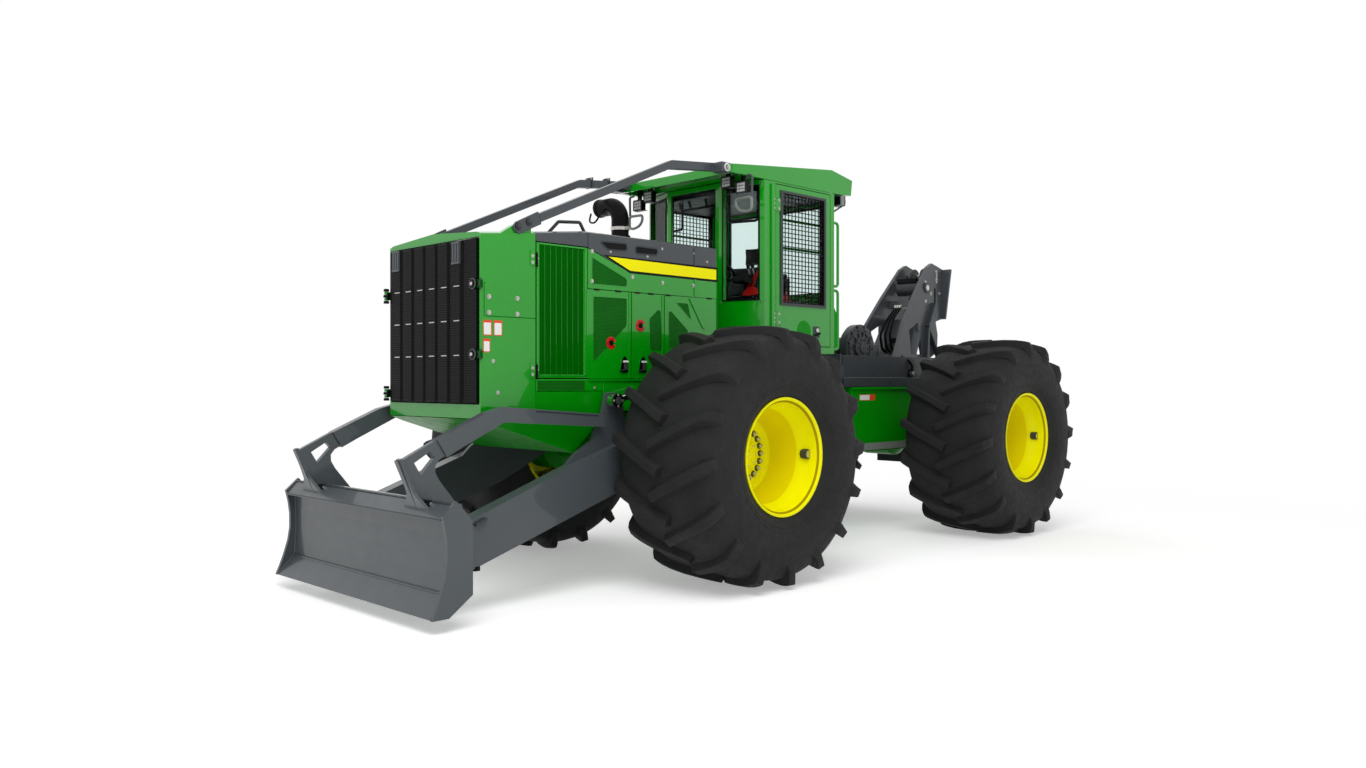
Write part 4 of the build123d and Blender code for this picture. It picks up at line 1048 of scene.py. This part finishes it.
def lamp(x, y, z, facing):
    """Parts of one work lamp that faces forward (-1) or back (1)."""
    parts = []
    line = rectangle(span(x, 0.054), span(z, 0.049))

    def slab(key, outline, *reach):
        """Plate between two distances ahead of the lamp's middle."""
        add(parts, key, prism("Y", outline, *sorted(y + facing * step for step in reach)))

    slab("black" if facing < 0 else "plate_grey", softened(line, 0.012), 0.024, -0.02)
    slab("black", softened(grown(line, -0.014), 0.01), -0.019, -0.034)
    bezel = sorted((y + facing * 0.036, y + facing * 0.022))
    add(parts, "plastic", ring("Y", softened(line, 0.01), softened(grown(line, -0.008), 0.006), *bezel))
    slab("plastic", softened(grown(line, -0.007), 0.006), 0.028, 0.024)
    for row in range(3):
        for column in range(3):
            cx, cz = x - 0.03 + 0.03 * column, z - 0.026 + 0.026 * row
            cell = rectangle(span(cx, 0.0125), span(cz, 0.0105))
            slab("lens", softened(cell, 0.004), 0.033, 0.027)
    for k in range(5):
        low = z - 0.036 + 0.016 * k
        slab("plastic", rectangle(span(x, 0.04), (low, low + 0.004)), -0.034, -0.022)
    return parts


def make_lamps():
    """Work lamps with ribbed lenses, brackets and guard loops."""
    parts = lamp(0.476, -1.13, 3.14, -1) + lamp(0.63, -1.115, 3.08, -1) + lamp(0.64, 0.17, 3.125, 1)
    add(parts, "black",
        block((0.455, 0.497), (-1.14, -1.12), (3.185, 3.214)),
        block((0.61, 0.65), (-1.125, -1.105), (3.126, 3.214)))
    add(parts, "grey_dark",
        strip((0.42, -1.11, 3.092), (0.69, -1.11, 3.092), 0.018, 0.006, (0, 0, 1)),
        strip((0.56, -1.105, 3.03), (0.69, -1.105, 3.03), 0.03, 0.006, (0, 0, 1)))
    loop = [(0.57, 2.985), (0.742, 2.99), (0.742, 2.884), (0.69, 2.872), (0.61, 2.89), (0.57, 2.935)]
    add(parts, "plate_grey", bar([(x, -1.14, z) for x, z in loop], 0.012, 0.03, closed=True))
    front = [(0.74, -1.135, 2.985), (0.744, -1.135, 3.165), (0.69, -1.135, 3.172)]
    rear = [(0.664, 0.17, 3.15), (0.664, 0.235, 3.15), (0.664, 0.238, 3.1), (0.664, 0.04, 3.0)]
    add(parts, "grey", bar(front, 0.0105, 0.02), bar(rear, 0.009, 0.02))
    add(parts, "black", block((0.615, 0.665), (0.155, 0.185), (3.16, 3.18)))
    piece("lamps", "front", both(parts), bevel=0.0012, instead=["work_lights"])


# ---- Seat

# Depth of the sewn channels
SEAM_DEPTH = 0.008


def cushion(name, corners, crown, waist, channels=0):
    """Crowned pad whose sides pull in between its corners, with sewn channels."""
    (x0, x1), (y0, y1), (z0, z1), tilt = corners
    pad = bmesh.new()
    bmesh.ops.create_cube(pad, size=1)
    bmesh.ops.subdivide_edges(pad, edges=pad.edges, cuts=11, use_grid_fill=True)
    span = Vector((x1 - x0, y1 - y0, z1 - z0))
    middle = Vector(((x0 + x1) / 2, (y0 + y1) / 2, (z0 + z1) / 2))
    thin = min(range(3), key=lambda i: span[i])
    wide = [i for i in range(3) if i != thin]
    for vert in pad.verts:
        u = vert.co * 2
        bulge = math.prod(max(0, 1 - u[i] ** 2) ** 0.5 for i in wide)
        place = Vector([u[i] * span[i] / 2 for i in range(3)])
        place[thin] += math.copysign(crown * bulge, u[thin]) if abs(u[thin]) > 0.05 else 0
        for i, other in (wide, wide[::-1]):
            place[i] -= u[i] * waist * (1 - u[other] ** 2) * (1 - abs(u[thin]) * 0.3)
            place[i] *= 1 - 0.06 * abs(u[thin]) ** 4
        if channels and u[thin] * (1 if thin == 2 else -1) > 0.9:
            wave = abs(math.sin(u[wide[1]] * math.pi * channels / 2))
            place[thin] -= math.copysign(SEAM_DEPTH * (1 - min(1, wave * 3)), u[thin]) * bulge
        vert.co = placed(middle + place + Vector((0, tilt * place.z, 0)))
    made = solid(name, pad, ["vinyl"])
    smooth = made.modifiers.new("Smooth", "SUBSURF")
    smooth.levels = smooth.render_levels = 1
    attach(made, "front")
    return made


def make_seat():
    """Three pads in place of the plain one."""
    seat = cushion("seat_cushion", ((-0.246, 0.246), (-0.696, -0.278), (2.136, 2.238), 0.0), 0.01, 0.012, 4)
    cushion("seat_back", ((-0.236, 0.236), (-0.36, -0.262), (2.262, 2.54), 0.34), 0.008, 0.01, 4)
    cushion("seat_head", ((-0.128, 0.128), (-0.246, -0.164), (2.562, 2.718), 0.0), 0.004, 0.008)
    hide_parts("seat_pad")


def make_cab_inside():
    """Armrests, levers, belt and dash details."""

    def shaped(key, axis, outline, radius, low, high):
        """Prism with rounded corners."""
        add(parts, key, prism(axis, softened(outline, radius), low, high))

    parts = []
    arm = [(-0.9, 2.33), (-0.86, 2.4), (-0.56, 2.415), (-0.3, 2.4), (-0.28, 2.33)]
    shaped("plastic", "X", arm, 0.03, 0.296, 0.444)
    shaped("vinyl", "X", [(-0.56, 2.405), (-0.55, 2.44), (-0.3, 2.44), (-0.29, 2.405)], 0.02, 0.315, 0.425)
    knob = [(0, 0), (0, 0.01), (0.02, 0.018), (0.038, 0.015), (0.046, 0)]
    for x in (0.335, 0.385):
        add(parts, "steel", bar([(x, -0.7, 2.4), (x, -0.72, 2.47)], 0.006))
        add(parts, "plastic", lathe(knob, (x, -0.72, 2.462), "Z", 16))
    add(parts, "red", bar([(0.52, -0.48, 2.16), (0.5, -0.42, 2.23), (0.42, -0.3, 2.3)], 0.01, 0.03))
    buckle = [(-0.6, 2.172), (-0.57, 2.225), (-0.5, 2.24), (-0.44, 2.225), (-0.4, 2.172)]
    shaped("red", "X", buckle, 0.02, 0.5, 0.56)
    for (x0, z0), (x1, z1) in (((0.522, 2.453), (0.385, 2.292)), ((0.498, 2.42), (0.43, 2.285))):
        add(parts, "red", bar([(x0, -0.78, z0), (x1, -0.78, z1)], 0.008))
    cap = [(0.34, 2.222), (0.345, 2.25), (0.4, 2.292), (0.44, 2.296), (0.505, 2.25), (0.51, 2.222)]
    shaped("red", "Y", cap, 0.015, -0.8, -0.745)
    add(parts, "plastic", block((0.4, 0.44), (-0.79, -0.755), (1.766, 2.224)))
    add(parts, "red", strip((0.255, -0.21, 2.6), (0.3, -0.3, 2.26), 0.045, 0.003, (1, 0, 0)))
    add(parts, "steel", bar([(0, -0.205, 2.5), (0, -0.205, 2.58)], 0.01))
    shaped("plastic", "X", [(-1.0, 2.455), (-0.985, 2.56), (-0.955, 2.56), (-0.95, 2.455)], 0.01, -0.1, 0.1)
    piece("cab_inside", "front", parts)


# ---- Rear: deck, winch and arch

# (x, z) of the outer face of the left arch plate, at its foot and near its top
ARCH_FOOT, ARCH_TOP = (0.29, 1.73), (0.182, 2.8)
# (y, z) outlines and spots on that face
ARCH_GUSSETS = [
    [(2.15, 1.735), (2.235, 2.06), (2.262, 2.06), (2.19, 1.735)],
    [(2.24, 2.08), (2.42, 2.34), (2.44, 2.32), (2.262, 2.062)],
    [(2.24, 2.062), (2.4, 1.745), (2.424, 1.757), (2.262, 2.085)],
]
ARCH_WEB = [(2.262, 2.076), (2.432, 2.318), (2.47, 1.99), (2.418, 1.766)]
ARCH_BOLTS = [(2.33, 2.56), (2.56, 2.6), (2.42, 2.44), (2.6, 2.45), (2.57, 2.69), (2.3, 2.35)]
ARCH_SLOTS = [
    ("steel", [(2.545, 2.56), (2.575, 2.56), (2.6, 2.69), (2.57, 2.7)]),
    ("black", [(2.47, 2.33), (2.5, 2.33), (2.53, 2.5), (2.5, 2.51)]),
]
ARCH_PIN = (2.341, 2.499)


def arch_x(z):
    """Outer face of the left arch plate at a height."""
    (low_x, low_z), (high_x, high_z) = ARCH_FOOT, ARCH_TOP
    return low_x - (z - low_z) / (high_z - low_z) * (low_x - high_x)


def on_arch(outline, thick):
    """Plate lying on the outer face of the left arch plate."""
    points, faces = prism("X", outline, 0, thick)
    return [Vector((p.x + arch_x(p.z), p.y, p.z)) for p in points], faces


def make_arch_trim():
    """Folded gussets, bolts, slot edges, sheaves, pump and rigid pipes of the arch."""
    parts = []
    add(parts, "grey_dark", *[on_arch(outline, 0.055) for outline in ARCH_GUSSETS])
    add(parts, "grey", on_arch(ARCH_WEB, 0.012))
    for y, z in ARCH_BOLTS:
        add(parts, "steel", *bolt((arch_x(z), y, z), "X", 0.012, 0.012))
    for key, outline in ARCH_SLOTS:
        add(parts, key, on_arch(softened(outline, 0.014), 0.003))
    y, z = ARCH_PIN
    boss = [(0, 0), (0, 0.058), (0.012, 0.058), (0.018, 0.05), (0.018, 0)]
    add(parts, "grey_dark", lathe(boss, (arch_x(z), y, z)))
    add(parts, "steel", bolt((arch_x(z) + 0.018, y, z), "X", 0.012, 0.02)[0])
    parts = both(parts)
    sheave = [(-0.016, 0), (-0.016, 0.072), (-0.006, 0.08), (0.006, 0.08), (0.016, 0.072), (0.016, 0)]
    y, z = 2.54, 2.655
    add(parts, "cast", *[lathe(sheave, (x, y, z)) for x in (-0.06, 0.06)])
    add(parts, "steel", bar([(-0.15, y, z), (0.15, y, z)], 0.02))
    add(parts, "cast", block((-0.085, 0.1), (1.985, 2.115), (1.772, 1.89)))
    add(parts, "black", disc((0, 2.05, 1.89), 0.055, 0.06, "Z", 24))
    for x in (-0.06, 0, 0.06):
        pipe = [(x, 1.965, 1.8), (x, 1.9, 1.83), (x, 1.86, 1.98), (x * 0.6, 1.96, 2.15),
                (x * 0.5, 2.12, 2.28)]
        add(parts, "black", bar(pipe, 0.014, 0.05))
        add(parts, "steel", disc((x * 0.5, 2.12, 2.28), 0.02, 0.03, "Z", 6))
    add(parts, "black", block((-0.12, 0.12), (2.275, 2.33), (2.56, 2.61)))
    for x in (-0.09, -0.03, 0.03, 0.09):
        add(parts, "cast", disc((x, 2.3, 2.61), 0.015, 0.014, "Z", 6))
    piece("arch_trim", "rear", parts)


# (y, z) of the winch's axis, height over which its cover's bolts clear the deck, (y, z) of the fitting
WINCH = (0.95, 1.81)
DECK_Z = 1.75
FITTING = (1.655, 1.56)


def make_winch_trim():
    """Cast ribs, covers and bolts of the winch, its valve block and pipes on the deck."""
    parts = []
    y, z = WINCH
    ring_line = [(0, 0.15), (0.01, 0.15), (0.014, 0.154), (0.014, 0.196), (0.01, 0.2), (0, 0.2)]
    add(parts, "cast",
        lathe(ring_line, (0.336, y, z), "X", 48, True),
        disc((0.336, y, z), 0.11, 0.03, "X", 40),
        disc((0.366, y, z), 0.055, 0.014, "X", 32))
    for outer, inner in zip(around(10, 0.175, (0.35, y, z)), around(10, 0.085, (0.366, y, z))):
        if outer[2] > DECK_Z:
            bolts(parts, "cast", 0.014, 0.011, outer)
        bolts(parts, "cast", 0.01, 0.01, inner)
    start = math.radians(15)
    inner, outer = [around(12, radius, (0.34, y, z), start)[:6] for radius in (0.112, 0.222)]
    for ends in zip(inner, outer):
        add(parts, "grey_dark", strip(*ends, 0.014, 0.012, (1, 0, 0)))
    bolts(parts, "cast", 0.012, 0.013, *[(0.463, by, 1.475) for by in (0.7, 1.3, 1.9)])
    for y0, y1 in ((0.56, 0.6), (0.9, 0.93)):
        add(parts, "grey", block((0.45, 0.456), (y0, y1), (1.43, 1.515)))
    parts = both(parts)
    add(parts, "grey_dark", block((-0.16, 0.16), (1.3, 1.52), (1.73, 1.86)))
    for k in range(4):
        x = -0.12 + 0.08 * k
        add(parts, "steel", disc((x, 1.3, 1.8), 0.022, -0.03, "Y", 6))
        add(parts, "black", bar([(x, 1.27, 1.8), (x, 1.235, 1.8), (x, 1.225, 1.735)], 0.011, 0.03))
    add(parts, "grey_dark", block((-0.24, 0.24), (0.56, 0.68), (1.73, 1.8)))
    y, z = FITTING
    add(parts, "black", disc((0.4, y, z), 0.062, 0.056, "X", 8))
    add(parts, "cast", disc((0.456, y, z), 0.03, 0.028, "X", 6))
    add(parts, "steel", disc((0.484, y, z), 0.02, 0.01, "X", 6))
    pipe = [(0.47, y, 1.59), (0.474, y, 1.65), (0.45, 1.62, 1.7), (0.4, 1.56, 1.735)]
    add(parts, "black", bar(pipe, 0.014, 0.04))
    piece("winch_trim", "rear", parts)


# Left side of the rear frame
REAR_X = 0.45


def make_rear_trim():
    """Flanges, strips, plates and bolts along the rear frame, and the tail's edges."""
    flats = [("green_low", -0.002, 0.03, (0.62, 2.64), (1.406, 1.424)),
             ("plate_grey", -0.002, 0.016, (0.64, 1.56), (0.812, 0.88)),
             ("warning_edge", 0, 0.0012, (0.772, 1.031), (1.296, 1.354)),
             ("plate", 0.001, 0.0019, (0.774, 0.935), (1.301, 1.349)),
             ("green_low", -0.002, 0.012, (0.62, 0.65), (0.88, 1.406))]
    parts = [(block((REAR_X + low, REAR_X + high), y, z), key) for key, low, high, y, z in flats]
    for z in (0.566, 1.622):
        add(parts, "grey_dark", block((0, 0.634), (2.69, 2.702), (z, z + 0.012)))
    rib = [(2.69, 0.6), (2.704, 0.6), (2.764, 1.1), (2.704, 1.6), (2.69, 1.6), (2.748, 1.1)]
    for x in (0.02, 0.17, 0.44, 0.6):
        add(parts, "grey", prism("X", rib, x, x + 0.014))
    for x in (0.09, 0.25, 0.38, 0.52):
        for z in (0.64, 1.56):
            add(parts, "steel", *bolt((x, 2.705, z), "Y", 0.012, 0.015))
    piece("rear_trim", "rear", both(parts))


# ---- Blade and arms

# Weld line of the side boards, ends of the level beads, treads on an arm, and how much the arm
# falls for each metre; (y, z) of its eye
BLADE_X = 1.033
BEAD_X = 1.03
TEETH = 34
ARM_FALL = 0.0767
ARM_EYE = (-2.6, 1.345)


def make_blade_trim():
    """Weld beads, wear strips, pins and serrated treads of the blade and its arms."""
    board = [(-4.228, 0.672), (-4.168, 0.652), (-4.161, 0.56), (-4.159, 0.44), (-4.163, 0.33),
             (-4.171, 0.224), (-4.186, 0.205), (-4.296, 0.096)]
    parts = []
    for x in (-BLADE_X, BLADE_X):
        add(parts, "grey_blade", bar([(x, y, z) for y, z in board], 0.007))
    beads = [("grey_dark", -4.229, 0.668, 0.008, 0.004, (0, -1, 0.4)),
             ("grey_dark", -4.152, 0.755, 0.012, 0.004, (0, -1, 1)),
             ("grey_blade", -4.18, 0.22, 0.01, 0.006, (0, -1, 0))]
    for key, y, z, width, thick, normal in beads:
        add(parts, key, strip((-BEAD_X, y, z), (BEAD_X, y, z), width, thick, normal))
    sides = []
    for k in range(TEETH):
        y = -3.3 + 0.016 * k
        fall = (y + 3.56) * ARM_FALL
        add(sides, "black", block((0.652, 0.728), (y, y + 0.007), (1.296 - fall, 1.305 - fall)))
    y, z = ARM_EYE
    add(sides, "black", disc((0.7505, y, z), 0.052, 0.01, "X", 28))
    add(sides, "cast", disc((0.7605, y, z), 0.03, 0.006, "X", 6))
    bolts(sides, "steel", 0.006, 0.007, *around(4, 0.04, (0.7605, y, z)))
    foot = [(0.7535, -3.812, 0.573), (0.7535, -3.726, 0.605)]
    brow = [(0.712, -3.856, 1.196), (0.712, -3.99, 1.03)]
    add(sides, "grey_dark", strip(*foot, 0.018, 0.022, (1, 0, 0)))
    add(sides, "black", block((0.69, 0.75), (-3.805, -3.765), (0.276, 0.306)))
    add(sides, "plate_grey", strip(*brow, 0.007, 0.003, (1, 0, 0)))
    parts += both(sides)
    for x in (-0.8, -0.6, 0.6, 0.8):
        add(parts, "black", disc((x - 0.032, -4.168, 0.742), 0.02, 0.064, "X", 20))
        add(parts, "steel", disc((x + 0.032, -4.168, 0.742), 0.013, 0.004, "X", 6))
        add(parts, "grey_dark", block(span(x, 0.008), (-4.19, -4.146), (0.7, 0.746)))
    piece("blade_trim", "blade_frame", parts, bevel=0.0012)


# ---- Stage

# Camera: place in station coordinates, lens and sensor in millimetres, tilt and turn in degrees
EYE = Vector((6.345, -7.528, 1.486))
LENS = 27.387
SENSOR = 36.0
DOWN = 0.17
TURN = 45.03
# Floor: radius, where it starts and ends to fade, its own light for the camera; the sky's light on things
FLOOR_R = 60.0
FADE = (4.0, 8.5)
LIFT = 0.35
SKY_LIGHT = 0.45
LIT_SPOT = Vector((0, 0, 1.0))
# Name, place, width and power of each lamp
LAMPS = [("key", (5.0, -6.0, 8.7), 7.0, 560), ("fill", (-7.0, 2.0, 8.0), 8.0, 200)]


def make_floor():
    """Pale floor that fades into the background away from the machine."""
    points, faces = prism("Z", circle(FLOOR_R, 64), -0.02, 0.0)
    data = bpy.data.meshes.new("floor")
    data.from_pydata([placed(point) for point in points], [], faces)
    floor = linked("floor", data)
    made = Shader("floor", Base_Color=rgb(250, 250, 250), Roughness=0.9, Specular_IOR_Level=0.1)
    place = made.node("ShaderNodeSeparateXYZ", {"Vector": made.place}).outputs
    square = made.math("ADD", *(made.math("POWER", place[name], 2.0) for name in "XY"))
    faded = made.spread(made.math("SQRT", square), *FADE, 0, 1)
    made.feed("Roughness", made.cloud(3, 3.0, 0.86, 0.92))
    lift = made.node("ShaderNodeEmission", {"Strength": made.math("MULTIPLY", made.seen(), LIFT)})
    lifted = made.node("ShaderNodeAddShader", {0: made.base.outputs[0], 1: lift.outputs[0]})
    light = made.node("ShaderNodeEmission", in_Strength=1.0)
    blend = made.node("ShaderNodeMixShader", {0: faded, 1: lifted.outputs[0], 2: light.outputs[0]})
    made.links.new(blend.outputs[0], made.nodes["Material Output"].inputs["Surface"])
    data.materials.append(made.material)


def make_sky():
    """White behind the machine, and a softer light round it."""
    world = bpy.data.worlds.new("studio")
    bpy.context.scene.world = world
    world.use_nodes = True
    sky = Nodes(world.node_tree)
    sky.nodes.clear()
    lit, behind = [sky.node("ShaderNodeBackground", in_Color=(1, 1, 1, 1), in_Strength=strength).outputs[0]
                   for strength in (SKY_LIGHT, 1.0)]
    choose = sky.node("ShaderNodeMixShader", {0: sky.seen(), 1: lit, 2: behind})
    sky.node("ShaderNodeOutputWorld", {"Surface": choose.outputs[0]})


def make_stage():
    """Floor, soft light, plain background and the camera."""
    make_floor()
    make_sky()
    for name, spot, size, power in LAMPS:
        light = bpy.data.lights.new(name, "AREA")
        light.shape = "DISK"
        light.size = size
        light.energy = power
        holder = linked(name, light)
        holder.location = placed(spot)
        holder.visible_glossy = False
        aim = LIT_SPOT - Vector(spot)
        holder.rotation_euler = aim.to_track_quat("-Z", "Y").to_euler()

    view = bpy.data.cameras.new("camera")
    view.lens = LENS
    view.sensor_width = SENSOR
    camera = linked("camera", view)
    camera.location = placed(EYE)
    camera.rotation_euler = (math.radians(90 - DOWN), 0, math.radians(TURN))
    bpy.context.scene.camera = camera
    bpy.context.scene.view_settings.view_transform = "Standard"


# ---- Everything, in order

for make in (make_wheels, make_grille, make_nose_trim, make_louvres, make_hood_trim, make_cover_trim,
             make_stack_trim, make_door_trim, make_cab_trim, make_lamps, make_seat,
             make_cab_inside, make_arch_trim, make_winch_trim, make_rear_trim, make_blade_trim, make_stage):
    make()
